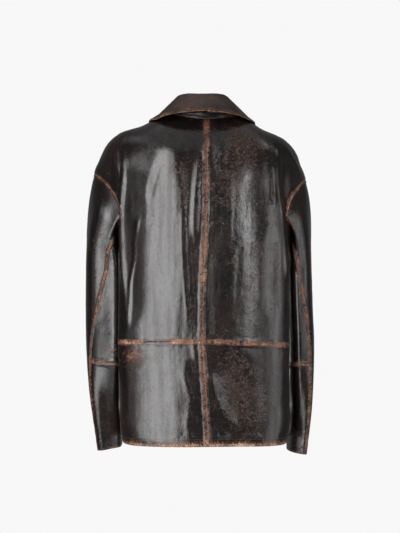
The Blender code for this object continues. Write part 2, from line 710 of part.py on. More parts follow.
def button_drill():
    """The cutter of a thread hole, longer than the button is thick."""
    sides = 6
    reach = BUTTON_THICKNESS * 2
    points = []
    for height in (-reach, reach):
        for k in range(sides):
            angle = 2 * math.pi * k / sides
            x, y = BUTTON_HOLE_RADIUS * math.cos(angle), BUTTON_HOLE_RADIUS * math.sin(angle)
            points.append((x, y, height))
    faces = [tuple(range(sides))[::-1], tuple(range(sides, 2 * sides))]
    faces += [(k, (k + 1) % sides, (k + 1) % sides + sides, k + sides) for k in range(sides)]
    mesh = bpy.data.meshes.new("button_drill")
    mesh.from_pydata(points, [], faces)
    drill = bpy.data.objects.new("button_drill", mesh)
    drill.hide_render = True
    drill.display_type = "WIRE"
    bpy.context.scene.collection.objects.link(drill)
    return drill


def build():
    for old in list(bpy.data.objects):
        bpy.data.objects.remove(old)
    build_body()
    build_sleeves()
    build_collar()
    build_buttons()


build()
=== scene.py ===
import math

import bpy
import numpy as np
from mathutils import Matrix, Vector
from mathutils.bvhtree import BVHTree
from mathutils.kdtree import KDTree


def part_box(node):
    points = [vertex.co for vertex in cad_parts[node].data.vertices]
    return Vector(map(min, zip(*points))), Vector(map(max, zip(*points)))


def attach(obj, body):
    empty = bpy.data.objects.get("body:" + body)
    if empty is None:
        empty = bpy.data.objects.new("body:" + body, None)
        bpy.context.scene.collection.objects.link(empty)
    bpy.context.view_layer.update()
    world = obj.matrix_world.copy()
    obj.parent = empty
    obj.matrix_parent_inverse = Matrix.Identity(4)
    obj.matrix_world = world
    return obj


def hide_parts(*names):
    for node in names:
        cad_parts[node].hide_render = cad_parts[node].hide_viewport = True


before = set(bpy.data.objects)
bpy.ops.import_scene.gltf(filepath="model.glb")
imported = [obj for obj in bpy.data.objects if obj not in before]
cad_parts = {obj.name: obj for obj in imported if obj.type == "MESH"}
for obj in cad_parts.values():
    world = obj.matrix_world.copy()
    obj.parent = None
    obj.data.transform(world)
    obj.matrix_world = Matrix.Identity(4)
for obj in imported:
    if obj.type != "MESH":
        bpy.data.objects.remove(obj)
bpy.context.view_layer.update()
bpy.ops.object.select_all(action="DESELECT")
mm = 0.001

# How finely the leather is modelled, in metres.
fineness = {"back": 2.6 * mm, "front": 4.5 * mm, "sleeve": 3.4 * mm, "collar": 2.6 * mm}
# Distances of the first rows from a sewn edge; further in they are even.
nearSeam = np.array([0.2, 0.7, 1.2, 1.8, 2.6, 3.6, 4.8, 6.0, 7.2, 8.6, 10.4, 12.6]) * mm


def between(t, start, leave, end, arrive):
    # the smooth way from start to end that leaves and arrives with these slopes
    return ((1 + 2 * t) * (1 - t) ** 2 * start + t * (1 - t) ** 2 * leave
            + t * t * (3 - 2 * t) * end + t * t * (t - 1) * arrive)


def smoothCurve(knots, values, at):
    knots, values = np.asarray(knots, float), np.asarray(values, float)
    steps = np.diff(knots)[:, None]
    rises = np.diff(values, axis=0) / steps
    inner = (rises[:-1] * steps[1:] + rises[1:] * steps[:-1]) / (steps[1:] + steps[:-1])
    slopes = np.vstack([rises[:1], inner, rises[-1:]])
    at = np.clip(np.atleast_1d(np.asarray(at, float)), knots[0], knots[-1])
    i = np.clip(np.searchsorted(knots, at, side="right") - 1, 0, len(steps) - 1)
    t = ((at - knots[i]) / steps[i][:, 0])[:, None]
    return between(t, values[i], steps[i] * slopes[i], values[i + 1], steps[i] * slopes[i + 1])


def ease(x):
    x = np.clip(x, 0, 1)
    return x * x * (3 - 2 * x)


def bump(x):
    return np.exp(-np.square(x))


def unit(vectors):
    return vectors / np.maximum(np.linalg.norm(vectors, axis=-1, keepdims=True), 1e-12)


def lumps(u, v, cellU, cellV, seed):
    # smooth random hills from -1 to 1, one to a cell
    table = np.random.default_rng(seed).uniform(-1, 1, (64, 64))
    u, v = u / cellU + 17.3, v / cellV + 29.7
    iu, iv = np.floor(u).astype(int), np.floor(v).astype(int)
    fu, fv = ease(u - iu), ease(v - iv)
    low, high = ((1 - fu) * table[iu % 64, k % 64] + fu * table[(iu + 1) % 64, k % 64] for k in (iv, iv + 1))
    return low * (1 - fv) + high * fv


def lengths(line):
    return np.concatenate([[0], np.cumsum(np.linalg.norm(np.diff(line, axis=0), axis=1))])


def valuesAt(wanted, at, values):
    # each column of the values, at the wanted places
    return np.stack([np.interp(wanted, at, column) for column in values.T], axis=1)


def atDistance(line, wanted):
    return valuesAt(wanted, lengths(line), line)


# Sizes of the body.
bodySizes = {
    "leather": 2.0 * mm, "frontOverlap": 22 * mm,
    # how far the right front lies under the left one, and from where to where it comes back out
    "lapStep": 3.4 * mm, "lapFull": 30 * mm, "lapEnd": 85 * mm,
    # how deep each armhole is cut, as a share of the way round to the side seam
    "armhole": {"back": 0.36, "front": 0.30},
    # how far the hem runs up at the side seam, and how far in and up this can be seen
    "hemRise": 10 * mm, "hemReach": 60 * mm, "hemHeight": 90 * mm,
    # what rows and columns are counted from, and the points that a ring is drawn with
    "girth": 255 * mm, "armholeRim": 110 * mm, "samples": 161,
}
# Rings of the body from the neck seam down to the hem, in millimetres.
ringNames = (
    "drop", "backY", "backZ", "cornerX", "cornerY", "cornerZ", "sideX", "sideY", "sideZ",
    "chestX", "chestY", "chestZ", "frontY", "frontZ", "drift", "leanX", "leanZ",
)
ringTable = (
    (0, 72, -16, 60, 50, -8, 86, 2, 0, 62, -46, -40, -64, -84, -4, 3, 2),
    (44, 98, -51, 106, 76, -38, 133, 0, -31, 102, -80, -84, -100, -136, -4, 5, 4),
    (88, 119, -89, 144, 89, -71, 185, -4, -51, 134, -100, -127, -124, -180, -4, 6.5, 6.5),
    (117, 128, -117, 162, 90, -99, 210, -8, -75, 146, -110, -153, -134, -206, -3.5, 8, 7),
    (147, 133, -146, 172, 89, -127, 225, -10, -108, 152, -116, -179, -142, -231, -3.5, 9.5, 7),
    (176, 136, -175, 178, 85, -156, 237, -12, -142, 155, -119, -204, -147, -254, -3, 10, 7),
    (213, 138, -212, 183, 81, -200, 223, -16, -195, 157, -121, -238, -150, -278, -3, 6, 5),
    (256, 138, -255, 185, 78, -248, 200, -20, -250, 158, -122, -273, -152, -302, -1, 2, 2),
    (301, 137, -300, 185, 77, -300, 174, -22, -302, 158, -122, -308, -153, -330, 1, 0, 0),
    (401, 134, -400, 186, 76, -401, 167, -24, -401, 158, -122, -402, -154, -410, 5, 0, 1),
    (503, 132, -502, 187, 75, -508, 166, -24, -509, 156, -120, -509, -152, -508, 5.5, 0, 5),
    (616, 131, -615, 184, 76, -617, 170, -20, -617, 154, -118, -616, -150, -615, -1, 0, 2),
    (692, 130, -691, 181, 80, -692, 178, -14, -690, 151, -118, -690, -147, -690, -5, 0, 1),
    (730, 130, -729, 168, 86, -729, 183, -4, -727, 150, -118, -727, -146, -728, -6.5, 0, 0),
)
rings = np.array(ringTable, float) * mm
drops = rings[:, 0]
shoulderDrop, underarmDrop, waistDrop, hemDrop = drops[5], drops[8], drops[10], drops[-1]
armholeMiddle, armholeHalf = (shoulderDrop + underarmDrop) / 2, (underarmDrop - shoulderDrop) / 2


def ringLines(drop, sign):
    # the ring at that drop on one side: back and front from the centre, and the front past it
    size = dict(zip(ringNames, smoothCurve(drops, rings, drop)[0]))

    def corner(name, way, share=0.7):
        x = way * size[name + "X"] + share * size["leanX"] + (1 - share) * size["drift"]
        return (x, size[name + "Y"], size[name + "Z"] + way * share * size["leanZ"])

    back = (size["drift"], size["backY"], size["backZ"])
    front = (0.0, size["frontY"], size["frontZ"])
    points = np.array([
        corner("corner", -sign), back, corner("corner", sign), corner("side", sign, 1.0),
        corner("chest", sign), front, corner("chest", -sign),
    ])
    knots = lengths(points)

    def part(first, last):
        return smoothCurve(knots, points, np.linspace(knots[first], knots[last], bodySizes["samples"]))

    return {"back": part(1, 3), "front": part(5, 3), "past": part(5, 6)}


def armholeShare(drop, panel):
    # how much of the way to the side seam a panel covers: round above the armhole's middle, straighter below
    way = (drop - armholeMiddle) / armholeHalf
    if not -1 < way < 1:
        return 1.0
    return 1 - bodySizes["armhole"][panel] * (math.sqrt(1 - way * way) if way <= 0 else 1 - way ** 1.15)


def armholePoint(sign, degrees):
    # a point of the armhole's edge, by degrees from the shoulder down over the back and up the front
    panel, turn = ("back", degrees) if degrees <= 180 else ("front", 360 - degrees)
    drop = armholeMiddle + armholeHalf * (-math.cos(math.radians(turn)) if turn <= 90 else turn / 90 - 1)
    line = ringLines(drop, sign)[panel]
    return atDistance(line, [armholeShare(drop, panel) * lengths(line)[-1]])[0]


def places(length, count):
    # distances along a row: close together beside the sewn edges, even between them
    end = length - nearSeam[::-1]
    even = np.linspace(nearSeam[-1], end[0], count - 2 * len(nearSeam) + 2)[1:-1]
    return np.concatenate([nearSeam, even, end])


def columnCount(width, step):
    return int(width / step) + 2 * len(nearSeam) - 8


def bodyDrops(start, end, step):
    # rows down the panel, by the way down the centre back, closer together round the armhole
    rows = [start + nearSeam]
    inside = [d for d in (shoulderDrop, underarmDrop) if start < d < end]
    stops = [start + nearSeam[-1], *inside, end - nearSeam[-1]]
    for a, b in zip(stops, stops[1:]):
        if a == shoulderDrop:
            turns = np.linspace(0, math.pi / 2, int(bodySizes["armholeRim"] / step))
            rows.append((armholeMiddle - armholeHalf * np.cos(turns))[1:])
            rows.append(np.linspace(armholeMiddle, b, int(armholeHalf / step) + 8)[1:])
        else:
            rows.append(np.linspace(a, b, max(2, int((b - a) / step)))[1:])
    rows.append(end - nearSeam[::-1][1:])
    return np.concatenate(rows)


def bodyGrid(sign, panel, start, end, step):
    # points of the form, and the way round from the centre to each
    count = columnCount(bodySizes["girth"], step)
    points, across = [], []
    for drop in bodyDrops(start, end, step):
        lines = ringLines(drop, sign)
        line, past = lines[panel], 0
        side = armholeShare(drop, panel) * lengths(line)[-1]
        if panel == "front":
            overlap = atDistance(lines["past"], np.linspace(bodySizes["frontOverlap"], 0, 12)[:-1])
            line = np.concatenate([overlap, line])
            past = lengths(line)[len(overlap)]
        at = places(side + past, count)
        points.append(atDistance(line, at))
        across.append(sign * (at - past))
    return np.array(points), np.array(across)


def normalsOf(grid, outward):
    # unit normals of a grid of points, all on the side that outward says at its middle
    normal = unit(np.cross(np.gradient(grid, axis=0), np.gradient(grid, axis=1)))
    i, j = grid.shape[0] // 2, grid.shape[1] // 2
    return normal if normal[i, j] @ outward > 0 else -normal


def distanceTo(grid, line):
    # the distance of every point of the grid from a line of points
    dense = atDistance(line, np.arange(0, lengths(line)[-1] + 0.3 * mm, 0.6 * mm))
    tree = KDTree(len(dense))
    for number, point in enumerate(dense):
        tree.insert(point, number)
    tree.balance()
    return np.array([tree.find(point)[2] for point in grid.reshape(-1, 3)]).reshape(grid.shape[:2])


def borders(grid):
    edges = {"top": grid[0], "bottom": grid[-1], "first": grid[:, 0], "last": grid[:, -1]}
    return {name: distanceTo(grid, edge) for name, edge in edges.items()}


def fold(path, width, height, right=None, tapers=(0.25, 0.25)):
    # width is its reach left of the path, height may change along it, tapers are how soon it starts and ends
    right = width if right is None else right
    return {"path": path, "width": width, "right": right, "height": height, "tapers": tapers}


def foldLift(crease, u, v):
    # how far one fold lifts the places (u, v)
    path = np.array(crease["path"], float) * mm
    knots = lengths(path)
    fine = smoothCurve(knots, path, np.linspace(0, knots[-1], 6 * len(path)))
    total = lengths(fine)
    best = np.full(u.shape, 1e9)
    side, along = np.zeros(u.shape), np.zeros(u.shape)
    for k in range(len(fine) - 1):
        a, way = fine[k], fine[k + 1] - fine[k]
        size = math.hypot(*way)
        way = way / size
        du, dv = u - a[0], v - a[1]
        t = np.clip(du * way[0] + dv * way[1], 0, size)
        off = np.hypot(du - t * way[0], dv - t * way[1])
        near = off < best
        best = np.where(near, off, best)
        side = np.where(near, np.sign(way[0] * dv - way[1] * du), side)
        along = np.where(near, (total[k] + t) / total[-1], along)
    reach = np.where(side > 0, crease["width"], crease["right"]) * mm
    startTaper, endTaper = crease["tapers"]
    taper = ease((along + 0.02) / startTaper) * ease((1.02 - along) / endTaper)
    heights = np.atleast_1d(crease["height"])
    height = np.interp(along, np.linspace(0, 1, len(heights)), heights)
    return height * mm * bump(best / reach) * taper


# Folds of the body, drawn in millimetres as (across, z) places; left is positive.
backFolds = [
    # the broad hollows and swells of the drape
    fold([(0, -40), (4, -500)], 48, -2.5),
    fold([(172, -215), (156, -470)], 22, -6),
    fold([(-152, -250), (-158, -470)], 20, -3),
    fold([(60, -520), (55, -790)], 42, 3.4),
    fold([(34, -530), (41, -575), (32, -625), (40, -680), (36, -745)], 8, 1.2),
    fold([(-8, -560), (-34, -649), (-76, -703)], 14, 1.7),
    fold([(-70, -520), (-60, -790)], 40, -5),
    # off the left shoulder blade, and the sharper edge on its inner side
    fold([(80, -50), (101, -106), (123, -160), (135, -230)], 26, 5, right=60),
    fold([(72, -70), (64, -120), (57, -166), (52, -249), (44, -359), (32, -488)], 34, 2.6, right=13,
         tapers=(0.15, 0.3)),
    fold([(96, -105), (106, -135), (116, -165), (121, -205)], 8, -1.5),
    # beside the middle seam
    fold([(15, -95), (20, -150), (25, -200), (25, -250), (17, -310)], 7, (2.1, 2.1, 2.1, 2.1, 1.2),
         right=14),
    fold([(52, -215), (47, -300), (38, -380), (28, -480)], 3.5, 0.9),
    fold([(44, -225), (38, -310), (28, -400), (20, -485)], 3.5, 0.9),
    fold([(34, -240), (28, -330), (19, -410), (13, -488)], 3.5, 0.9),
    fold([(20, -500), (16, -545)], 5, 1.0),
    # the two long rolls beside the left armhole, and the one that joins them
    fold([(196, -84), (191, -120), (191, -151), (195, -194), (197, -228), (197, -281), (192, -324),
         (184, -369), (176, -407), (173, -435), (168, -459), (164, -487)], 5, (3.2, 3.8, 4.5, 5.4, 6.0,
         6.0, 5.6, 4.6, 3.6, 3.0, 2.4, 1.5), right=8, tapers=(0.08, 0.1)),
    fold([(229, -78), (214, -105), (205, -130), (202, -163), (204, -193), (203, -220)], 6, 4.4, right=7),
    fold([(148, -232), (153, -264), (156, -292), (155, -321), (159, -342), (164, -375), (164, -413),
         (164, -444), (163, -470)], 5, (1.6, 2.0, 2.3, 2.3, 2.4, 2.6, 2.6, 2.4, 1.6), right=4.5,
         tapers=(0.1, 0.2)),
    # the fold down from the right shoulder, with the hollow beyond it
    fold([(-183, -80), (-170, -88), (-166, -104), (-163, -131), (-167, -164), (-171, -194), (-177, -227),
         (-185, -282), (-191, -336), (-203, -390)], 5, (1.8, 1.6, 1.5, 1.4, 1.2, 1.3, 1.5, 2.2, 3.2,
         3.6), right=6, tapers=(0.08, 0.2)),
    fold([(-192, -92), (-188, -130), (-185, -170), (-185, -215)], 9, -5, right=20),
    fold([(-214, -70), (-224, -92), (-242, -111), (-256, -134)], 5, 1.6),
    fold([(-147, -105), (-153, -162), (-154, -215)], 8, 2.6),
]
frontFolds = [
    # soft swells of the drape, then the sharper creases from the shoulders and the armholes
    fold([(120, -180), (84, -330), (60, -520)], 36, 5),
    fold([(-120, -190), (-92, -350), (-70, -560)], 36, 5),
    fold([(150, -330), (138, -520), (130, -700)], 30, -5),
    fold([(-150, -340), (-146, -520), (-135, -700)], 30, -5),
    fold([(150, -120), (128, -190), (112, -270), (106, -360)], 9, 3.2, right=14),
    fold([(176, -250), (150, -320), (138, -400), (132, -500)], 7, 2.8, right=10),
    fold([(96, -300), (88, -420), (86, -540), (92, -650)], 10, 2.2, right=7),
    fold([(60, -600), (66, -690), (64, -780)], 9, 2.4),
    fold([(-148, -130), (-134, -200), (-122, -260), (-118, -330)], 12, 3.0, right=8),
    fold([(-180, -262), (-158, -330), (-150, -430), (-152, -540)], 9, 3.0, right=6),
    fold([(-88, -330), (-80, -450), (-84, -590)], 7, 2.0, right=11),
    fold([(-118, -600), (-112, -690), (-116, -780)], 9, 2.6),
]

# Where the finish has cracked, in millimetres: the middle across and in z, the reach each way, how much.
backCracks = (
    (-88, -75, 34, 48, 0.9),
    (-50, -150, 48, 80, 0.48),
    (46, -160, 14, 60, 0.6),
    (12, -150, 14, 110, 0.3),
    (150, -550, 26, 20, 1.0),
    (-85, -630, 45, 80, 0.8),
    (-60, -560, 30, 60, 0.5),
    (30, -420, 12, 90, 0.35),
    (-120, -330, 26, 120, 0.3),
)
frontCracks = (
    (120, -200, 44, 70, 0.7),
    (-112, -230, 40, 80, 0.6),
    (60, -430, 40, 60, 0.5),
    (-80, -560, 36, 70, 0.6),
    (120, -700, 40, 60, 0.7),
    (20, -760, 40, 30, 0.6),
)
collarCracks = (
    (0, 30, 120, 30, 0.5),
    (70, 50, 40, 24, 0.3),
    (-160, 40, 80, 40, 0.4),
    (160, 40, 80, 40, 0.4),
)
# Where the seams are rubbed harder or less than usual, and where the skin is scuffed, in the same way.
backRubs = (
    (165, -506, 30, 16, 0.7),
    (105, -503, 24, 14, -0.9),
    (45, -500, 40, 14, 0.6),
    (0, -230, 14, 150, 0.25),
    (0, -640, 14, 120, -0.22),
    (150, -535, 26, 22, 0.55),
    (-100, -508, 80, 10, 0.25),
)
backScuffs = (
    (168, -534, 26, 14, 0.30),
    (146, -532, 14, 14, 0.34),
)

def marks(zones, u, v):
    # how strongly the zones mark each place
    total = np.zeros(u.shape)
    for across, z, reachAcross, reachZ, amount in zones:
        total += amount * bump(np.hypot((u / mm - across) / reachAcross, (v / mm - z) / reachZ))
    return np.clip(total, -0.7, 1)


# Beside each kind of seam, in millimetres: the raised band, the groove at the seam, how strongly and how far
# it is rubbed, the share and the place of a second rubbed ridge, and the rounding of a free edge.
seamKinds = {
    # kind: raised, band, groove, rub, reach, ridge, ridgeAt, rounding
    "open": (0.8, 7, 0.9, 0.74, 4.8, 0.3, 4, 0),
    "cross": (0.6, 8, 0.5, 0.74, 4.0, 0.3, 4, 0),
    "armhole": (1.5, 2.4, 0.2, 1.4, 0.85, 0.18, 4, 0),
    "lapped": (1.1, 3.2, 0.5, 0.95, 1.9, 0.3, 4, 0),
    "scuffed": (1.1, 3.2, 0.5, 0.66, 4.6, 0.2, 4, 0),
    "plain": (0.6, 7, 0.9, 0.7, 4, 0.38, 4, 0),
    "neck": (0.2, 6, 0.4, 0.2, 4, 0.38, 4, 0),
    "hem": (0.7, 24, 0.0, 1.0, 10, 0.38, 4, 1.1),
    "cuff": (0.6, 26, 0.0, 0.55, 4, 0.38, 4, 1.1),
    "edge": (0.5, 30, 0.0, 0.9, 3.2, 0.2, 4, 1.1),
    "leaf": (0.5, 30, 0.0, 1.1, 2.2, 0.36, 6.5, 1.1),
}
# What all seams share: how far a sewn border runs on and dives under, over what reach folds and ripples fade
# towards it, how uneven its band is, and its puckers.
sewing = {
    "runOn": 0.5 * mm, "dive": 0.8 * mm, "foldFade": 5 * mm, "calm": 16 * mm,
    "uneven": 0.35, "unevenCell": 9 * mm, "pucker": 0.28, "puckerCell": 5 * mm,
    "grooveReach": 1.1, "ridgeReach": 2.8,
}
# The leather's fine wrinkles, in millimetres: how high, how wide, how long, and what is added to the seed.
wrinkles = ((0.20, 12, 130, 0), (0.10, 6, 60, 2), (0.16, 18, 18, 3), (0.08, 8, 8, 4))


def seamLift(kind, off, u, v, seed):
    # how far the leather stands up beside a seam and how far it is rubbed there
    raised, band, groove, rub, reach, ridge, ridgeAt, rounding = seamKinds[kind]
    d = off / mm
    uneven = 1 + sewing["uneven"] * lumps(u, v, sewing["unevenCell"], sewing["unevenCell"], seed)
    lift = raised * uneven * (1 - ease((d - band * 0.6) / (band * 0.8)))
    lift = lift - groove * bump(d / sewing["grooveReach"])
    if rounding:
        inside = np.clip(1 - d / rounding, 0, 1)
        lift = lift - rounding * (1 - np.sqrt(1 - 0.96 * inside ** 2))
    puckers = lumps(u, v, sewing["puckerCell"], sewing["puckerCell"], seed + 1) * bump((d - 6) / 6)
    worn = rub * ((1 - ridge) * bump(d / reach) + ridge * bump((d - ridgeAt) / sewing["ridgeReach"]))
    return (lift + sewing["pucker"] * puckers) * mm, worn


def tucked(points, normal, edges):
    # the sewn borders run on a little past the seam and dive under it
    for name in edges:
        turned = name in ("first", "last")
        spots, out = (points.swapaxes(0, 1), normal.swapaxes(0, 1)) if turned else (points, normal)
        at, beside = (0, 1) if name in ("top", "first") else (-1, -2)
        spots[at] += unit(spots[at] - spots[beside]) * sewing["runOn"] - out[at] * sewing["dive"]
    return points


def dressed(grid, u, v, outward, seams, folds=(), cracks=(), rubs=(), scuffs=(), fade=None, rough=1.0):
    # the form with its folds, seams and fine wrinkles; also what the finish needs to know
    seed = 100 * (1 + len(panels))
    normal, near = normalsOf(grid, outward), borders(grid)
    lift, rub, far = np.zeros(u.shape), np.zeros(u.shape), np.ones(u.shape)
    for crease in folds:
        lift += foldLift(crease, u, v)
    if fade:
        lift = lift * ease(near[fade] / sewing["foldFade"])
    for name in seams:
        far = far * ease(near[name] / sewing["calm"])
    for high, wide, long, more in wrinkles:
        lift += rough * high * lumps(u, v, wide * mm, long * mm, seed + more) * mm * (0.25 + 0.75 * far)
    for number, (name, kind) in enumerate(seams.items()):
        height, worn = seamLift(kind, near[name], u, v, seed + 10 * number)
        lift, rub = lift + height, np.maximum(rub, worn)
    sewn = [name for name, kind in seams.items() if not seamKinds[kind][-1]]
    points = tucked(grid + normal * lift[..., None], normal, sewn)
    rub = np.maximum(rub * (1 + marks(rubs, u, v)), marks(scuffs, u, v))
    return points, {"rub": rub, "crackle": marks(cracks, u, v)}, near


def setAll(made, settings):
    for key, value in settings.items():
        setattr(made, key, value)


def applied(piece, kind, **settings):
    modifier = piece.modifiers.new(kind, kind)
    setAll(modifier, settings)
    bpy.ops.object.modifier_apply(modifier=modifier.name)


def mode(name):
    bpy.ops.object.mode_set(mode=name)


def gridObject(name, points, outward, u, v, paint):
    rows, columns = points.shape[:2]
    bpy.ops.mesh.primitive_grid_add(x_subdivisions=columns - 1, y_subdivisions=rows - 1, size=1)
    piece = bpy.context.object
    piece.name = piece.data.name = name
    mesh = piece.data
    start = np.empty(len(mesh.vertices) * 3, np.float32)
    mesh.vertices.foreach_get("co", start)
    start = start.reshape(-1, 3)
    column = np.rint((start[:, 0] + 0.5) * (columns - 1)).astype(int)
    row = np.rint((start[:, 1] + 0.5) * (rows - 1)).astype(int)
    mesh.vertices.foreach_set("co", points[row, column].astype(np.float32).ravel())
    for key, values in paint.items():
        layer = mesh.attributes.new(key, "FLOAT", "POINT")
        layer.data.foreach_set("value", values[row, column].astype(np.float32))
    corners = np.empty(len(mesh.loops), np.int32)
    mesh.loops.foreach_get("vertex_index", corners)
    flat = np.stack([u[row, column], v[row, column]], axis=1)[corners]
    mesh.uv_layers[0].data.foreach_set("uv", flat.astype(np.float32).ravel())
    mesh.update()
    middle = mesh.polygons[(rows // 2) * (columns - 1) + columns // 2]
    if middle.normal.dot(Vector(outward)) < 0:
        mode("EDIT")
        bpy.ops.mesh.select_all(action="SELECT")
        bpy.ops.mesh.flip_normals()
        mode("OBJECT")
    return piece


def leatherPiece(node, points, outward, u, v, paint, near, finishes, thickness, cut):
    # the finished panel: its outer face given the leather's thickness, and kept for what comes after
    piece = gridObject("leather_" + node, points, outward, u, v, paint)
    for finish in finishes:
        piece.data.materials.append(finish)
    applied(piece, "SOLIDIFY", thickness=thickness, offset=-1, material_offset=1, material_offset_rim=2)
    bpy.ops.object.shade_smooth_by_angle(angle=math.radians(55))
    piece.select_set(False)
    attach(piece, "root")
    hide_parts(node)
    panels[node], cuts[node] = piece, cut
    forms[node] = {"points": points, "near": near, "normal": normalsOf(points, outward)}


class Nodes:
    # adds nodes to one tree, and gives back the socket that each little sum or blend ends in
    def __init__(self, tree):
        self.tree = tree

    def fill(self, made, inputs):
        for key, value in inputs.items():
            if isinstance(value, bpy.types.NodeSocket):
                self.tree.links.new(value, made.inputs[key])
            else:
                made.inputs[key].default_value = value

    def add(self, kind, inputs, **settings):
        made = self.tree.nodes.new("ShaderNode" + kind)
        setAll(made, settings)
        self.fill(made, inputs)
        return made

    def maths(self, operation, *values, clamp=False):
        return self.add("Math", dict(enumerate(values)), operation=operation, use_clamp=clamp).outputs[0]

    def chain(self, operation, values):
        total = values[0]
        for value in values[1:]:
            total = self.maths(operation, total, value)
        return total

    def times(self, *values):
        return self.chain("MULTIPLY", values)

    def plus(self, *values):
        return self.chain("ADD", values)

    def most(self, *values):
        return self.chain("MAXIMUM", values)

    def scaled(self, value, size, more, clamp=False):
        return self.maths("MULTIPLY_ADD", value, size, more, clamp=clamp)

    def centred(self, noise, size):
        # a noise about nought, as wide as the size each way
        return self.scaled(noise, 2 * size, -size)

    def mix(self, factor, a, b):
        return self.add("Mix", {0: factor, 6: a, 7: b}, data_type="RGBA").outputs[2]

    def blend(self, factor, a, b):
        return self.add("Mix", {0: factor, 2: a, 3: b}, data_type="FLOAT").outputs[0]

    def step(self, value, low, high, toLow=0.0, toHigh=1.0):
        inputs = {0: value, 1: low, 2: high, 3: toLow, 4: toHigh}
        return self.add("MapRange", inputs, interpolation_type="SMOOTHSTEP").outputs[0]

    def coordinates(self, name="Object"):
        return self.add("TexCoord", {}).outputs[name]

    def noise(self, place, scale, detail, roughness=0.5, output="Fac", distortion=0.0):
        return self.add("TexNoise", {
            "Vector": place, "Scale": scale, "Detail": detail, "Roughness": roughness,
            "Distortion": distortion}).outputs[output]

    def vectors(self, operation, *values):
        return self.add("VectorMath", dict(enumerate(values)), operation=operation)

    def grain(self, strength, distance, height):
        return self.add("Bump", {"Strength": strength, "Distance": distance, "Height": height}).outputs[0]

    def painted(self, name):
        return self.add("Attribute", {}, attribute_name=name).outputs["Fac"]


def newMaterial(name):
    made = bpy.data.materials.new(name)
    made.use_nodes = True
    return made, Nodes(made.node_tree), made.node_tree.nodes["Principled BSDF"]


leatherFinish = {
    "dark": (0.0046, 0.0041, 0.0041, 1), "brown": (0.0125, 0.0074, 0.0062, 1),
    "crackTint": (0.0180, 0.0085, 0.0068, 1),
    "crackBrown": (0.105, 0.060, 0.046, 1), "crackPale": (0.300, 0.215, 0.170, 1),
    "rubBrown": (0.075, 0.030, 0.022, 1), "rubTan": (0.265, 0.132, 0.078, 1),
    "rubPale": (0.500, 0.360, 0.260, 1),
    "gloss": 0.20, "wornGloss": 0.45, "specular": 0.85, "coat": 0.55, "coatGloss": 0.155,
    "dust": 0.34, "grain": 1.0,
}
collarFinish = {
    **leatherFinish,
    "dark": (0.0115, 0.0080, 0.0072, 1), "brown": (0.070, 0.044, 0.035, 1), "dust": 0.35,
    "gloss": 0.42, "coat": 0.12, "specular": 0.5,
}


def leatherMaterial(name, look):
    made, nodes, shader = newMaterial(name)
    noise, step, mix = nodes.noise, nodes.step, nodes.mix
    times, scaled, centred = nodes.times, nodes.scaled, nodes.centred
    place = nodes.coordinates()
    rub, crack = nodes.painted("rub"), nodes.painted("crackle")
    broad, patch = noise(place, 9, 3, 0.55), noise(place, 42, 4, 0.65)
    mottle, speck = noise(place, 185, 3, 0.6), noise(place, 400, 2, 0.6)
    fine, grit = noise(place, 900, 2, 0.55), noise(place, 760, 1, 0.55)
    drift = noise(place, 130, 2, output="Color")
    drift = nodes.vectors("MULTIPLY_ADD", drift, (0.005, 0.005, 0.005), place).outputs[0]
    net = nodes.add("TexVoronoi", {"Vector": drift, "Scale": 620}, feature="DISTANCE_TO_EDGE")

    base = mix(step(broad, 0.40, 0.66), look["dark"], look["brown"])
    base = mix(step(patch, 0.50, 0.68, 0, 0.6), base, look["brown"])
    dust = step(speck, 0.54, 0.72)
    base = mix(times(dust, look["dust"]), base, look["crackBrown"])

    # fine cracks and flecks show the hide where the finish has gone
    lines = step(net.outputs["Distance"], 0.02, 0.14, 1.0, 0.0)
    flecks = step(grit, 0.60, 0.72)
    zone = nodes.plus(scaled(crack, 0.8, 0.06), centred(patch, 0.8), centred(mottle, 0.5))
    spots = step(zone, 0.10, 0.85)
    base = mix(times(spots, 0.65), base, look["crackTint"])
    cracked = times(scaled(lines, 0.30, times(flecks, 0.85), clamp=True), spots)
    hide = mix(step(mottle, 0.45, 0.68), look["crackBrown"], look["crackPale"])
    base = mix(cracked, base, hide)

    # rubbed seams and edges go from brown to tan to pale
    shares = ((patch, 1.0), (broad, 0.35), (mottle, 0.85), (speck, 1.15))
    worn = nodes.plus(rub, *(centred(part, share) for part, share in shares))
    worn = times(worn, step(rub, 0.02, 0.2))
    brownMask, tanMask = step(worn, 0.10, 0.42), step(worn, 0.45, 0.95)
    base = mix(brownMask, base, look["rubBrown"])
    base = mix(tanMask, base, look["rubTan"])
    base = mix(step(worn, 0.95, 1.4), base, look["rubPale"])

    shares = ((cracked, 0.7), (spots, 0.22), (brownMask, 0.45))
    dull = nodes.most(tanMask, *(times(part, share) for part, share in shares))
    gloss = nodes.plus(scaled(broad, 0.08, look["gloss"] - 0.04), centred(mottle, 0.07))
    streak = noise(nodes.vectors("MULTIPLY", place, (75, 75, 6)).outputs[0], 1.0, 3)
    shine = times(
        nodes.maths("SUBTRACT", 1.0, dull), step(mottle, 0.25, 0.6, 0.8, 1.0),
        scaled(spots, -0.5, 1.0), step(streak, 0.38, 0.60, 0.74, 1.0),
        scaled(dust, -0.58, 1.0))

    # grain, in millimetres: shallow lumps, small pebbles and the cracks
    height = times(mottle, 0.20)
    for part, share in ((speck, 0.22), (fine, 0.08), (patch, 0.55), (times(lines, spots), -0.05)):
        height = scaled(part, share, height)
    grain = nodes.grain(look["grain"], mm, height)
    nodes.fill(shader, {
        "Base Color": base, "Roughness": nodes.blend(dull, gloss, look["wornGloss"]),
        "Coat Weight": times(shine, look["coat"]), "Coat Roughness": look["coatGloss"],
        "Specular IOR Level": scaled(shine, look["specular"] - 0.18, 0.18),
        "Normal": grain, "Coat Normal": grain,
    })
    return made


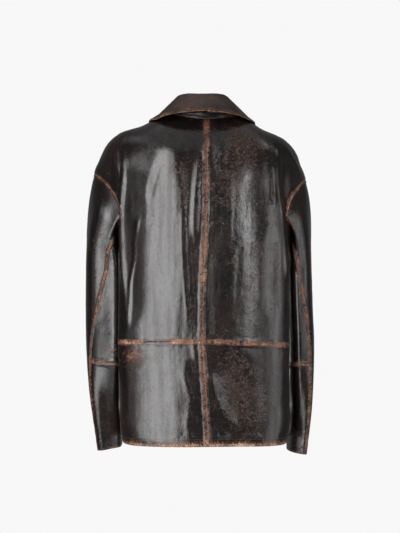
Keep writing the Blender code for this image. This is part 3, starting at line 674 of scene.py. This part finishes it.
def suedeMaterial(name, colour, dark):
    made, nodes, shader = newMaterial(name)
    place = nodes.coordinates()
    nap, cloud = nodes.noise(place, 900, 4), nodes.noise(place, 18, 4)
    tone = nodes.scaled(nap, 0.5, nodes.scaled(cloud, 1.0, -0.28))
    nodes.fill(shader, {
        "Base Color": nodes.mix(tone, dark, colour), "Roughness": 0.92, "Specular IOR Level": 0.2,
        "Sheen Weight": 0.25, "Normal": nodes.grain(0.5, 0.6 * mm, nap),
    })
    return made


shellLeather = leatherMaterial("shell_leather_finish", leatherFinish)
collarLeather = leatherMaterial("collar_leather_finish", collarFinish)
suede = suedeMaterial("flesh_side", (0.105, 0.062, 0.042, 1), (0.040, 0.023, 0.016, 1))
rawEdge = suedeMaterial("cut_edge", (0.33, 0.18, 0.10, 1), (0.12, 0.055, 0.032, 1))
shellFinishes = (shellLeather, suede, rawEdge)
collarFinishes = (collarLeather, collarLeather, rawEdge)
print("finishes made")

# The finished leather pieces, the forms of their outer faces, and their flat sizes.
panels, forms, cuts = {}, {}, {}
bodyPoints = {"left": [], "right": []}
bodyCentre = np.array([0, -0.02, -0.35])
# Each panel: from where to where it runs down the back, its seams, and its flat width, length and area.
bodyParts = {
    "back_upper": (0, waistDrop, ("neck", "plain", "open", "cross"), (0.31, 0.56, 0.143)),
    "back_lower": (waistDrop, hemDrop, ("cross", "plain", "open", "hem"), (0.30, 0.23, 0.067)),
    "front": (0, hemDrop, ("neck", "plain", "edge", "hem"), (0.30, 0.77, 0.197)),
}
bodyLooks = {
    "back_upper": {"folds": backFolds, "cracks": backCracks, "rubs": backRubs},
    "back_lower": {"folds": backFolds, "cracks": backCracks, "rubs": backRubs, "scuffs": backScuffs},
    "front": {"folds": frontFolds, "cracks": frontCracks},
}


def bodyPanel(side, part):
    sign = 1 if side == "left" else -1
    start, end, kinds, cut = bodyParts[part]
    panel = part.split("_")[0]
    outward = np.array([0, 1.0 if panel == "back" else -1.0, 0])
    grid, across = bodyGrid(sign, panel, start, end, fineness[panel])
    if end == hemDrop:
        # the hem runs up a little to each side seam
        off = np.linalg.norm(grid[-1] - grid[-1, -1], axis=1)
        low = 1 - ease((grid[..., 2] - grid[-1:, :, 2]) / bodySizes["hemHeight"])
        grid[..., 2] += bodySizes["hemRise"] * (1 - ease(off / bodySizes["hemReach"])) * low
    heights = grid[..., 2]
    seams = dict(zip(("top", "last", "first", "bottom"), kinds))
    points, paint, near = dressed(grid, across, heights, outward, seams, fade="last", **bodyLooks[part])
    if part == "front" and side == "right":
        off = np.maximum(-across, 0)
        under = 1 - ease((off - bodySizes["lapFull"]) / (bodySizes["lapEnd"] - bodySizes["lapFull"]))
        points = points - normalsOf(grid, outward) * (under * bodySizes["lapStep"])[..., None]
    bodyPoints[side].append(points)
    leatherPiece(f"{part}_{side}", points, outward, across, heights, paint, near, shellFinishes,
                 bodySizes["leather"], cut)


for side in bodyPoints:
    for part in bodyParts:
        bodyPanel(side, part)
print("body panels made")

# Sizes of the sleeves. The first ones shape a section: 1 is round, and less is squarer.
sleeveSizes = {
    "squareness": 0.9, "backSquareness": 0.52, "innerSquareness": {"left": 0.32, "right": 0.80},
    # how the head leaves the armhole: out at the top, out and inwards, less steeply, at back and front
    "headSpread": 0.28, "sideSpread": 0.5, "sideTuck": 0.15, "sideFall": 0.3,
    # how far it stays from the body, lower down and under the arm
    "clearance": 2.2 * mm, "underarmClearance": 4.2 * mm,
    # degrees of the inner seam, the lengths that rows are counted from, and the points of one row's line
    "inseam": 225, "headLength": 150 * mm, "sectionLength": 68 * mm, "samples": 181,
}
# Sections of each sleeve, in millimetres and degrees.
sleeveNames = ("z", "outerX", "innerX", "backY", "frontY", "tilt", "backSeam", "skew")
sleeveTables = {
    "left": (
        (-345, 266, 182, 54, -112, 0, 101, 9),
        (-430, 267, 185, 49, -114, 0, 75, 13),
        (-494, 267, 187, 44, -116, -4, 59, 16),
        (-548, 265, 188, 39, -117, -8, 52, 12),
        (-620, 259, 189, 31, -118, 0, 46, -2),
        (-690, 249, 187, 21, -118, 5, 41, -9),
        (-752, 239, 187, 12, -116, 9, 37, -11),
    ),
    "right": (
        (-350, 240, 182, 54, -112, 0, 99, 9),
        (-432, 243, 185, 49, -114, 0, 72, 9),
        (-498, 246, 188, 44, -116, -3, 63, 9),
        (-552, 246, 189, 39, -117, -7, 56, 5),
        (-630, 243, 190, 31, -118, 0, 53, -4),
        (-698, 237, 189, 21, -118, 3, 49, -10),
        (-760, 229, 187, 12, -116, 6, 45, -12),
    ),
}
# Where the back seam leaves each armhole, how soon it reaches its place, and the head's two swells.
sleeveHeads = {"left": (135, 0.72, 14 * mm, 8 * mm), "right": (145, 1.0, 9 * mm, 0)}
# Each piece of a sleeve: its first and last row, the width its columns are counted from, its flat sizes.
sleeveParts = {
    "top": (0, 7, 250 * mm, (0.26, 0.61, 0.128)),
    "under_upper": (0, 4, 170 * mm, (0.18, 0.37, 0.048)),
    "under_lower": (4, 7, 170 * mm, (0.18, 0.19, 0.033)),
}
# Folds of both sleeves, and worn marks at the elbows, by degrees round the sleeve and z.
sleeveFolds = [
    fold([(140, -330), (165, -332), (190, -344)], 26, -5),
    fold([(190, -380), (250, -395), (310, -410)], 24, -6),
    fold([(150, -445), (185, -455), (220, -470)], 22, 4),
    fold([(210, -490), (260, -500), (310, -512)], 22, 5),
    fold([(140, -628), (170, -640), (200, -652)], 28, -4),
    fold([(240, -678), (290, -690), (340, -702)], 26, 4),
]
sleeveScuffs = {
    "left": ((78, -414, 16, 4, 0.36), (70, -358, 8, 4, 0.30), (125, -528, 26, 14, 0.36)),
    "right": ((80, -414, 20, 4, 0.34), (100, -250, 30, 24, 0.26)),
}


def gridTree(grids):
    # a tree of the grids' faces, all facing away from the body's centre
    points, faces = [], []
    for grid in grids:
        rows, columns = grid.shape[:2]
        index = np.arange(rows * columns).reshape(rows, columns) + len(points)
        points += [Vector(p) for p in grid.reshape(-1, 3)]
        quads = np.stack([index[:-1, :-1], index[1:, :-1], index[1:, 1:], index[:-1, 1:]], axis=-1)
        i, j = rows // 2, columns // 2
        facing = np.cross(grid[i + 1, j] - grid[i, j], grid[i + 1, j + 1] - grid[i, j])
        if facing @ (grid[i, j] - bodyCentre) < 0:
            quads = quads[..., ::-1]
        faces += quads.reshape(-1, 4).tolist()
    return BVHTree.FromPolygons(points, faces)


def blurred(field, times):
    for _ in range(times):
        padded = np.pad(field, ((1, 1), (1, 1)) + ((0, 0),) * (field.ndim - 2), mode="edge")
        field = (padded[:-2, 1:-1] + padded[2:, 1:-1] + padded[1:-1, :-2] + padded[1:-1, 2:]
                 + 2 * padded[1:-1, 1:-1]) / 6
    return field


def pushedClear(points, tree, clearance):
    # the points, moved out where they come nearer to the surface than their row's clearance
    push, way = np.zeros(points.shape[:2]), np.zeros(points.shape)
    for place in np.ndindex(*push.shape):
        spot = Vector(points[place])
        found, normal, _, off = tree.find_nearest(spot, 50 * mm)
        if found is None:
            continue
        signed = (spot - found).dot(normal)
        # beyond the surface's open edge the normal says nothing
        if abs(signed) >= 0.8 * off - 1e-6:
            way[place] = normal
            push[place] = max(0.0, clearance[place[0]] - signed)
    return points + unit(blurred(way, 10)) * blurred(push, 6)[..., None]


def sleeveSize(side, row):
    table = np.array(sleeveTables[side], float)
    return dict(zip(sleeveNames, smoothCurve(np.arange(len(table)), table, row)[0]))


def sleeveSection(side, sign, row, degrees):
    size, angle = sleeveSize(side, row), np.radians(degrees)
    cos, sin = np.cos(angle), np.sin(angle)
    rearward = ease(sin / 0.6)
    front, back = sleeveSizes["squareness"], sleeveSizes["backSquareness"]
    back = back + (sleeveSizes["innerSquareness"][side] - back) * ease((0.2 - cos) / 0.4)
    power = front + (back - front) * rearward
    reach = (np.abs(cos) ** (2 / power) + np.abs(sin) ** (2 / power)) ** (-power / 2)
    roundX, roundY = cos * reach, sin * reach
    middleX, halfX = (size["outerX"] + size["innerX"]) / 2, (size["outerX"] - size["innerX"]) / 2
    middleY, halfY = (size["backY"] + size["frontY"]) / 2, (size["backY"] - size["frontY"]) / 2
    x = sign * (middleX + halfX * roundX)
    y = middleY + halfY * roundY - size["skew"] * roundX * rearward
    z = size["z"] + size["tilt"] * (1 - cos) / 2
    return np.stack([x, y, z], axis=1) * mm


def sleeveLine(side, sign, row, degrees, loop):
    # up to row 1 the head runs from the armhole's loop to the first section, then each row is a section
    if row >= 1:
        return sleeveSection(side, sign, row - 1, degrees)
    start = valuesAt(degrees % 360, *loop)
    end, after = sleeveSection(side, sign, 0, degrees), sleeveSection(side, sign, 0.1, degrees)
    length = np.linalg.norm(end - start, axis=1)[:, None]
    angle = np.radians(degrees)
    beside = np.abs(np.sin(angle))
    leave = np.stack([
        sign * (sleeveSizes["headSpread"] * np.cos(angle) + sleeveSizes["sideSpread"] * beside ** 1.5),
        -sleeveSizes["sideTuck"] * np.sin(angle) * beside,
        -1.0 + sleeveSizes["sideFall"] * beside,
    ], axis=1)
    points = between(row, start, leave * length, end, unit(after - end) * length)
    _, _, outer, inner = sleeveHeads[side]
    points[:, 1] += outer * ease(row / 0.35) * ease((1 - row) / 0.7) * bump((degrees - 42) / 26)
    points[:, 1] += inner * ease(row / 0.3) * ease((1 - row) / 0.5) * bump((degrees - 122) / 22)
    return points


def backSeamAngle(side, row):
    start, reach = sleeveHeads[side][:2]
    if row >= 1:
        return sleeveSize(side, row - 1)["backSeam"]
    return start + (sleeveSize(side, 0)["backSeam"] - start) * ease(row / reach)


def sleeveRows(start, end, step):
    per = {True: sleeveSizes["headLength"], False: sleeveSizes["sectionLength"]}
    first = start + nearSeam / per[start < 1]
    last = end - nearSeam[::-1] / per[end <= 1]
    middle = []
    row = first[-1]
    while row < last[0]:
        row += step / per[row < 1]
        middle.append(row)
    return np.concatenate([first, middle[:-1], last])


def sleevePiece(side, part, loop, tree):
    sign = 1 if side == "left" else -1
    inseam, step = sleeveSizes["inseam"], fineness["sleeve"]
    start, end, width, cut = sleeveParts[part]
    rows, count = sleeveRows(start, end, step), columnCount(width, step)
    points, turns = [], []
    for row in rows:
        back = backSeamAngle(side, row)
        span = (inseam - 360, back) if part == "top" else (back, inseam)
        degrees = np.linspace(*span, sleeveSizes["samples"])
        line = sleeveLine(side, sign, row, degrees, loop)
        at = places(lengths(line)[-1], count)
        points.append(atDistance(line, at))
        turns.append(np.interp(at, lengths(line), degrees))
    grid, turns = np.array(points), np.array(turns)
    middle = math.radians(turns[len(rows) // 2, count // 2])
    outward = np.array([sign * math.cos(middle), math.sin(middle), 0])
    edges = ["plain", "lapped" if side == "left" else "scuffed"]
    if part == "top":
        outward = np.array([sign, 0.3, 0])
    else:
        edges.reverse()
    seams = {"top": "cross" if start else "armhole", "first": edges[0], "last": edges[1],
             "bottom": "cross" if part == "under_upper" else "cuff"}
    # a degree round the sleeve counts as a millimetre in the places of the folds
    u, v = turns * mm, grid[..., 2]
    points, paint, near = dressed(grid, u, v, outward, seams, sleeveFolds, scuffs=sleeveScuffs[side])
    under, clear = sleeveSizes["underarmClearance"], sleeveSizes["clearance"]
    clear = under + (clear - under) * ease(rows - 1)
    points = pushedClear(points, tree, clear * ease(rows * 4))
    leatherPiece(f"sleeve_{side}_{part}", points, outward, u, v, paint, near, shellFinishes,
                 bodySizes["leather"], cut)


for side, sign in (("left", 1), ("right", -1)):
    degrees = np.arange(0, 361, 2.0)
    loop = (degrees, np.array([armholePoint(sign, d % 360) for d in degrees]))
    tree = gridTree(bodyPoints[side])
    for part in sleeveParts:
        sleevePiece(side, part, loop, tree)
print("sleeves made")

# Sizes of the collar.
collarSizes = {
    "leather": 2.6 * mm, "clearance": 2.8 * mm, "lean": 5 * mm, "standLift": 0.5 * mm,
    # where the stand ends below the fold, how far it runs down below the neck seam
    "splitBelowFold": 9 * mm, "standFoot": 6 * mm,
    # the share of the front's neck seam that the collar leaves free at the centre
    "skip": 0.2,
}
# Sections of the collar from the centre back to its front end, in millimetres.
collarNames = ("along", "foldX", "foldY", "foldZ", "edgeX", "edgeY", "edgeZ", "belly", "roll")
collarTable = (
    (0.00, 0, 62, 40, 0, 107, -2, 3, 5.0),
    (0.20, 34, 54, 41, 52, 101, -6, 3, 5.0),
    (0.38, 53, 34, 38, 90, 72, -12, 2, 5.0),
    (0.56, 60, 0, 26, 117, 6, -24, 1, 5.0),
    (0.78, 49, -46, -22, 108, -74, -72, 4, 4.5),
    (1.00, 13, -76, -62, 62, -116, -130, 3, 3.8),
)
# The stand's creases under the leaf, as (across, up from its foot) places.
standFolds = [
    fold([(84, 13), (60, 16), (36, 15), (12, 17), (-14, 15)], 2.6, -2.7),
    fold([(74, 8), (54, 10), (34, 8.5), (16, 11)], 2.4, -2.3),
    fold([(30, 22), (8, 20), (-20, 22), (-44, 19)], 2.6, -2.0),
    fold([(-24, 10), (-46, 12), (-70, 11)], 2.6, -1.7),
    fold([(58, 22), (70, 18), (90, 17)], 2.6, -2.0),
]


def neckLine(sign):
    # the neck seam from the centre back to the front, and the level way out from it
    overlap = bodySizes["frontOverlap"] / lengths(ringLines(0, sign)["front"])[-1]
    share = (1 + overlap) * collarSizes["skip"] - overlap
    found = []
    for drop in (0, 4 * mm):
        lines = ringLines(drop, sign)
        front = atDistance(lines["front"], np.linspace(1, share, 80) * lengths(lines["front"])[-1])
        found.append(np.concatenate([lines["back"], front[1:]]))
    line, below = found
    return line, unit((below - line) * (1, 1, 0))


def collarLine(along, foot, away, sign, stand, count):
    # one line up the stand, or over the fold and down the leaf
    table = np.array(collarTable, float)
    size = dict(zip(collarNames, smoothCurve(table[:, 0], table, along)[0]))
    up, roll = np.array([0, 0, 1.0]), size["roll"] * mm
    crest, edge = (
        np.array([sign * size[name + "X"], size[name + "Y"], size[name + "Z"]]) * mm
        + np.array([collarSizes["lean"], 0, 0]) for name in ("fold", "edge"))
    foot = foot - away * collarSizes["leather"] + up * collarSizes["standLift"]
    side = unit((edge - crest) * (1, 1, 0))
    centre = crest - up * roll
    neckSide = centre - side * roll
    reach = np.linalg.norm(foot - neckSide)
    split = neckSide + (foot - neckSide) * min(collarSizes["splitBelowFold"] / reach, 0.45)
    if stand:
        line = np.array([foot - up * collarSizes["standFoot"], foot, split])
        return atDistance(line, np.linspace(0, lengths(line)[-1], count))
    turns = np.radians([180, 155, 122, 90, 58, 25])
    turn = [centre + (side * math.cos(a) + up * math.sin(a)) * roll for a in turns]
    fall = edge - turn[-1]
    swell = unit(np.cross(np.cross(fall, up), fall))
    swell = (swell if swell[2] > 0 else -swell) * size["belly"] * mm
    down = [turn[-1] + fall * s + swell * math.sin(math.pi * s) for s in np.linspace(0.08, 1.0, 14)]
    line = np.array([split, *turn, *down])
    return atDistance(line, places(lengths(line)[-1], count))


def collarPiece(name, rows, outward, seams, cut, tree=None, **looks):
    stand = name == "collar_stand"
    ending = np.array([7, 5, 3.4, 2, 1, 0.5, 0]) * mm
    strips, ways = {}, {}
    for sign in (1, -1):
        line, away = neckLine(sign)
        total = lengths(line)[-1]
        even = np.linspace(0, total - 9 * mm, int(total / fineness["collar"]))
        at = np.concatenate([even, total - ending])
        feet, outs = atDistance(line, at), valuesAt(at, lengths(line), away)
        strips[sign] = [collarLine(a / total, f, o, sign, stand, rows) for a, f, o in zip(at, feet, outs)]
        ways[sign] = sign * at
    grid = np.array(strips[1][::-1] + strips[-1][1:]).transpose(1, 0, 2)
    columns = grid.shape[1]
    u = np.tile(np.concatenate([ways[1][::-1], ways[-1][1:]]), (rows, 1))
    v = np.tile(lengths(grid[:, columns // 2])[:, None], (1, columns))
    points, paint, near = dressed(grid, u, v, outward, seams, rough=0.6, **looks)
    if tree:
        # the leaf's inner face stays clear of the body from just past the fold
        inner = (points - normalsOf(points, outward) * collarSizes["leather"])[20:]
        points[20:] += pushedClear(inner, tree, np.full(rows, collarSizes["clearance"])) - inner
    leatherPiece(name, points, outward, u, v, paint, near, collarFinishes, collarSizes["leather"], cut)


collarPiece("collar_stand", 30, np.array([0, -1.0, 0.2]),
            {"top": "neck", "bottom": "neck", "first": "edge", "last": "edge"}, (0.49, 0.043, 0.017),
            folds=standFolds)
collarPiece("collar_leaf", 48, np.array([0, 0.7, 0.7]),
            {"top": "neck", "first": "leaf", "last": "leaf", "bottom": "leaf"}, (0.66, 0.10, 0.050),
            gridTree(bodyPoints["left"] + bodyPoints["right"]), cracks=collarCracks)
print("collar made")

buttonSizes = {
    "radius": 11 * mm, "thick": 3.6 * mm, "rim": 1.0 * mm, "edge": 0.5 * mm,
    "hole": 1.0 * mm, "holePlace": 2.6 * mm,
}
buttonPlaces = {}


def hornMaterial():
    made, nodes, shader = newMaterial("button_horn_finish")
    veins = nodes.noise(nodes.coordinates(), 160, 5, distortion=2.5)
    tone = nodes.step(veins, 0.42, 0.66)
    colour = nodes.mix(tone, (0.022, 0.012, 0.008, 1), (0.120, 0.065, 0.035, 1))
    nodes.fill(shader, {"Base Color": colour, "Roughness": 0.28})
    return made


def selectOnly(items, kind, wanted):
    # leaves edit mode on with only the wanted faces or edges selected
    mode("EDIT")
    bpy.ops.mesh.select_mode(type=kind)
    bpy.ops.mesh.select_all(action="DESELECT")
    mode("OBJECT")
    for item in items():
        item.select = wanted(item)
    mode("EDIT")


def hornButton(name):
    low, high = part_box(name)
    centre = (low + high) / 2
    spread = np.array([v.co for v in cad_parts[name].data.vertices])
    flattest = np.linalg.eigh(np.cov((spread - spread.mean(axis=0)).T))[1][:, 0]
    normal = Vector(flattest)
    if normal.y > 0:
        normal = -normal
    thick, radius = buttonSizes["thick"], buttonSizes["radius"]
    bpy.ops.mesh.primitive_cylinder_add(vertices=48, radius=radius, depth=thick)
    button = bpy.context.object
    button.name = button.data.name = "horn_" + name
    selectOnly(lambda: button.data.polygons, "FACE", lambda face: face.normal.z > 0.9)
    bpy.ops.mesh.inset(thickness=radius * 0.16)
    bpy.ops.mesh.inset(thickness=radius * 0.14, depth=-buttonSizes["rim"])
    mode("OBJECT")
    applied(button, "BEVEL", width=buttonSizes["edge"], segments=3, angle_limit=math.radians(35))
    for k in range(4):
        angle = math.pi / 4 + k * math.pi / 2
        spot = (buttonSizes["holePlace"] * math.cos(angle), buttonSizes["holePlace"] * math.sin(angle), 0)
        bpy.ops.mesh.primitive_cylinder_add(
            vertices=20, radius=buttonSizes["hole"], depth=thick * 3, location=spot)
        drill = bpy.context.object
        bpy.ops.object.select_all(action="DESELECT")
        bpy.context.view_layer.objects.active = button
        button.select_set(True)
        applied(button, "BOOLEAN", object=drill, operation="DIFFERENCE")
        bpy.data.objects.remove(drill)
    buttonPlaces[name] = (centre, normal)
    button.data.transform(normal.to_track_quat("Z", "Y").to_matrix().to_4x4())
    button.data.transform(Matrix.Translation(centre))
    bpy.ops.object.shade_smooth_by_angle(angle=math.radians(40))
    button.data.materials.append(horn)
    button.select_set(False)
    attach(button, "root")
    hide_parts(name)


horn = hornMaterial()
for number in range(1, 6):
    hornButton(f"button_{number}")
print("buttons made")

stitching = {
    "pitch": 4.6 * mm, "length": 3.4 * mm, "radius": 0.38 * mm, "proud": 0.10 * mm, "dip": 0.45 * mm,
    "buttonhole": 25 * mm, "holeGap": 0.75 * mm, "holeStitch": 2.3 * mm, "holePitch": 0.85 * mm,
}
# The rows of stitches on each kind of panel: beside which border, and how far from it in millimetres.
stitchRows = {
    "back_upper": (("first", 2.3), ("first", 7.2), ("bottom", 5.0), ("last", 3.6)),
    "back_lower": (("first", 2.3), ("first", 7.2), ("top", 5.0), ("last", 3.6), ("bottom", 16)),
    "front": (("first", 6.5), ("bottom", 16)),
    "top": (("last", 3.0), ("bottom", 16)),
    "under_upper": (("bottom", 4.5),),
    "under_lower": (("top", 4.5), ("bottom", 16)),
    "collar_leaf": (("first", 6.0), ("bottom", 6.0), ("last", 6.0)),
}


def threadMaterial():
    made, nodes, shader = newMaterial("waxed_thread")
    place = nodes.coordinates()
    tone, twist = nodes.noise(place, 240, 2), nodes.noise(place, 2600, 1)
    colour = nodes.mix(nodes.step(tone, 0.35, 0.7), (0.045, 0.024, 0.016, 1), (0.150, 0.085, 0.055, 1))
    nodes.fill(shader, {"Base Color": colour, "Roughness": 0.6, "Normal": nodes.grain(0.6, 0.3 * mm, twist)})
    return made


def oneStitch():
    # a short thread along X, its ends bevelled
    bpy.ops.mesh.primitive_cylinder_add(
        vertices=6, radius=stitching["radius"], depth=1, rotation=(0, math.pi / 2, 0))
    stitch = bpy.context.object
    bpy.ops.object.transform_apply(location=False, rotation=True, scale=False)

    def atEnd(edge):
        ends = [stitch.data.vertices[k].co.x for k in edge.vertices]
        return abs(ends[0] - ends[1]) < 0.1

    selectOnly(lambda: stitch.data.edges, "EDGE", atEnd)
    bpy.ops.mesh.bevel(offset=stitching["radius"] * 0.55, segments=1)
    mode("OBJECT")
    bpy.ops.object.shade_smooth()
    stitch.select_set(False)
    return stitch


def besideBorder(name, border, off):
    # the line at that distance from one border of a panel, and which way is out
    form = forms[name]
    fields = [form["points"], form["normal"], form["near"][border]]
    if border in ("top", "bottom"):
        fields = [field.swapaxes(0, 1) for field in fields]
    if border in ("last", "bottom"):
        fields = [field[:, ::-1] for field in fields]
    line, facing = [], []
    for row, normals, far in zip(*(field[2:-2, 1:30] for field in fields)):
        far = np.maximum.accumulate(far)
        if far[-1] >= off:
            line.append(valuesAt([off], far, row)[0])
            facing.append(valuesAt([off], far, normals)[0])
    return np.array(line), np.array(facing)


def laidStitch(middle, along, out, length):
    # one copy of the stitch in its place, its ends turned down into the leather
    along, out = Vector(along).normalized(), Vector(out)
    out = (out - along * out.dot(along)).normalized()
    turn = Matrix((along, out.cross(along), out)).transposed().to_4x4()
    mesh = template.data.copy()
    mesh.transform(Matrix.Diagonal((length, 1, 1, 1)))
    for vertex in mesh.vertices:
        reach = abs(vertex.co.x) * 2 / length
        vertex.co.z -= stitching["dip"] * max(0.0, reach - 0.4) ** 1.5
    mesh.transform(Matrix.Translation(Vector(middle) + out * stitching["proud"]) @ turn)
    copy = bpy.data.objects.new("stitch", mesh)
    bpy.context.scene.collection.objects.link(copy)
    return copy


def stitchesAlong(line, facing):
    at = lengths(line)
    count = int(at[-1] / stitching["pitch"])
    middles = (np.arange(count) + 0.5) * at[-1] / count
    ways = atDistance(line, middles + 1 * mm) - atDistance(line, middles - 1 * mm)
    spots = zip(atDistance(line, middles), ways, valuesAt(middles, at, facing))
    return [laidStitch(*spot, stitching["length"]) for spot in spots]


def joined(name, parts):
    bpy.ops.object.select_all(action="DESELECT")
    for part in parts:
        part.select_set(True)
    bpy.context.view_layer.objects.active = parts[0]
    bpy.ops.object.join()
    piece = bpy.context.object
    piece.name = piece.data.name = name
    piece.select_set(False)
    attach(piece, "root")
    return piece


def buttonhole(button):
    # whipped edges of a slit that runs across the front under its button
    centre = np.array(buttonPlaces[button][0])
    form = forms["front_left"]
    off = np.linalg.norm(form["points"] - centre, axis=2)
    i, j = np.unravel_index(np.argmin(off), off.shape)
    patch = (slice(max(i - 6, 0), i + 7), slice(max(j - 14, 0), j + 15))
    spots, out = form["points"][patch].reshape(-1, 3), form["normal"][i, j]
    across = unit(np.cross([0, 0, 1.0], out))
    up = np.cross(out, across)
    half, reach = stitching["buttonhole"] / 2, stitching["holeGap"] + stitching["holeStitch"] / 2
    parts = []
    for side in (1, -1):
        for place in np.arange(-half, half, stitching["holePitch"]):
            spot = centre + across * place + up * side * reach
            away = np.hypot(*((spots - spot) @ np.stack([across, up], axis=1)).T)
            near = np.argsort(away)[:4]
            depth = np.average((spots[near] - spot) @ out, weights=1 / (away[near] + 0.1 * mm))
            parts.append(laidStitch(spot + out * depth, up, out, stitching["holeStitch"]))
    return parts


def buttonThreads(button):
    # two threads crossed over the four holes
    centre, out = buttonPlaces[button]
    side = out.cross(Vector((0, 0, 1))).normalized()
    up = side.cross(out)
    middle = centre + out * (buttonSizes["thick"] / 2 - buttonSizes["rim"])
    reach = 2 * buttonSizes["holePlace"] + buttonSizes["hole"]
    lifts = ((side + up, 0.3 * mm), (side - up, 0.7 * mm))
    return [laidStitch(middle + out * lift, way, out, reach) for way, lift in lifts]


template = oneStitch()
template.data.materials.append(threadMaterial())
for name, piece in panels.items():
    parts = []
    kind = next((kind for kind in stitchRows if name.startswith(kind) or name.endswith(kind)), None)
    for border, off in stitchRows.get(kind, ()):
        parts += stitchesAlong(*besideBorder(name, border, off * mm))
    if name == "front_left":
        for button in buttonPlaces:
            parts += buttonhole(button)
    beside = [joined("stitches_" + name, parts)] if parts else []
    width, length, area = cuts[name]
for button in buttonPlaces:
    joined("thread_" + button, buttonThreads(button))
bpy.data.objects.remove(template)
print("stitches made")

studio = {
    "floorZ": -1.50, "floorSize": 5.0, "floorFade": (0.9, 2.3), "floorColour": (0.86, 0.86, 0.86, 1),
    "background": 0.935, "aim": Vector((0.0, 0.13, -0.36)),
    "eye": (0.010, 3.5, -0.340), "lens": 105.7, "sensor": 36,
}
# The room's light on each side: along which axis, from where to where it grows, what falls on dull leather
# and what gleams in it. The last one is there all round.
roomLights = (
    ("Y", -0.35, -0.95, 0.65, 0.12),
    ("X", -0.55, -0.95, 0.25, 0.08),
    ("Z", 0.55, 0.95, 0.50, 0.34),
    ("Z", -9.0, -8.0, 0.11, 0.045),
)
# Lights that face the coat: azimuth and elevation in degrees, distance, width, height and radiance.
softboxes = {
    "key_softbox": (27, 10, 2.3, 1.42, 3.1, 3.9),
    "key_top": (15, 49, 2.3, 0.34, 0.5, 3.6),
    "right_strip": (-26, 7, 2.3, 0.14, 1.08, 14.0),
    "edge_strip": (-60, 11, 2.3, 0.12, 1.3, 5.0),
    "shoulder_light": (-88, 50, 2.3, 0.90, 0.50, 1.20),
    "side_panel": (-66, 6, 2.3, 1.30, 1.0, 0.60),
    "low_panel": (-57, -17, 2.3, 1.40, 1.1, 1.00),
    "sleeve_panel": (50, -18.5, 2.3, 0.42, 0.34, 4.20),
    "front_panel": (180, 3, 2.6, 1.20, 1.1, 1.0),
    "left_panel": (62, 0, 2.3, 1.10, 2.0, 0.30),
    "head_panel": (62, 27, 2.3, 0.75, 0.55, 1.50),
    "shoulder_panel": (85, 54, 2.3, 2.60, 0.50, 0.30),
}


def floorMaterial():
    # plain near the coat and clear further out
    made, nodes, shader = newMaterial("pale_floor")
    away = nodes.vectors("LENGTH", nodes.coordinates()).outputs["Value"]
    nodes.fill(shader, {"Base Color": studio["floorColour"], "Roughness": 0.9})
    clear = nodes.add("BsdfTransparent", {})
    both = nodes.add("MixShader", {
        0: nodes.step(away, *studio["floorFade"]), 1: shader.outputs[0], 2: clear.outputs[0]})
    nodes.fill(made.node_tree.nodes["Material Output"], {"Surface": both.outputs[0]})
    return made


bpy.ops.mesh.primitive_grid_add(x_subdivisions=8, y_subdivisions=8, size=studio["floorSize"])
floor = bpy.context.object
floor.name = "studio_floor"
floor.location = (0, 0, studio["floorZ"])
floor.data.materials.append(floorMaterial())
floor.select_set(False)

for name, (azimuth, elevation, distance, width, height, radiance) in softboxes.items():
    light = bpy.data.lights.new(name, "AREA")
    energy = radiance * width * height * math.pi
    setAll(light, {"shape": "RECTANGLE", "size": width, "size_y": height, "energy": energy})
    lamp = bpy.data.objects.new(name, light)
    a, e = math.radians(azimuth), math.radians(elevation)
    way = Vector((math.sin(a) * math.cos(e), math.cos(a) * math.cos(e), math.sin(e)))
    lamp.location = studio["aim"] + way * distance
    lamp.rotation_mode = "QUATERNION"
    lamp.rotation_quaternion = way.to_track_quat("Z", "Y")
    lamp.visible_camera = False
    bpy.context.scene.collection.objects.link(lamp)

world = bpy.data.worlds.new("studio")
bpy.context.scene.world = world
world.use_nodes = True
nodes = Nodes(world.node_tree)
ray = nodes.add("LightPath", {}).outputs
way = nodes.add("SeparateXYZ", {0: nodes.coordinates("Generated")}).outputs
levels = []
for axis, start, full, soft, shine in roomLights:
    here = nodes.blend(ray["Is Glossy Ray"], soft, shine)
    levels.append(nodes.times(nodes.step(way[axis], start, full), here))
level = nodes.blend(ray["Is Camera Ray"], nodes.most(*levels), studio["background"])
nodes.fill(world.node_tree.nodes["Background"], {"Color": (1, 1, 1, 1), "Strength": level})

camera = bpy.data.cameras.new("camera")
camera.sensor_fit = "AUTO"
camera.sensor_width = camera.sensor_height = studio["sensor"]
camera.lens = studio["lens"]
eye = bpy.data.objects.new("camera", camera)
eye.location = studio["eye"]
eye.rotation_euler = (math.radians(90), 0, math.radians(180))
bpy.context.scene.collection.objects.link(eye)
bpy.context.scene.camera = eye
bpy.context.scene.view_settings.view_transform = "Standard"
print("stage made")
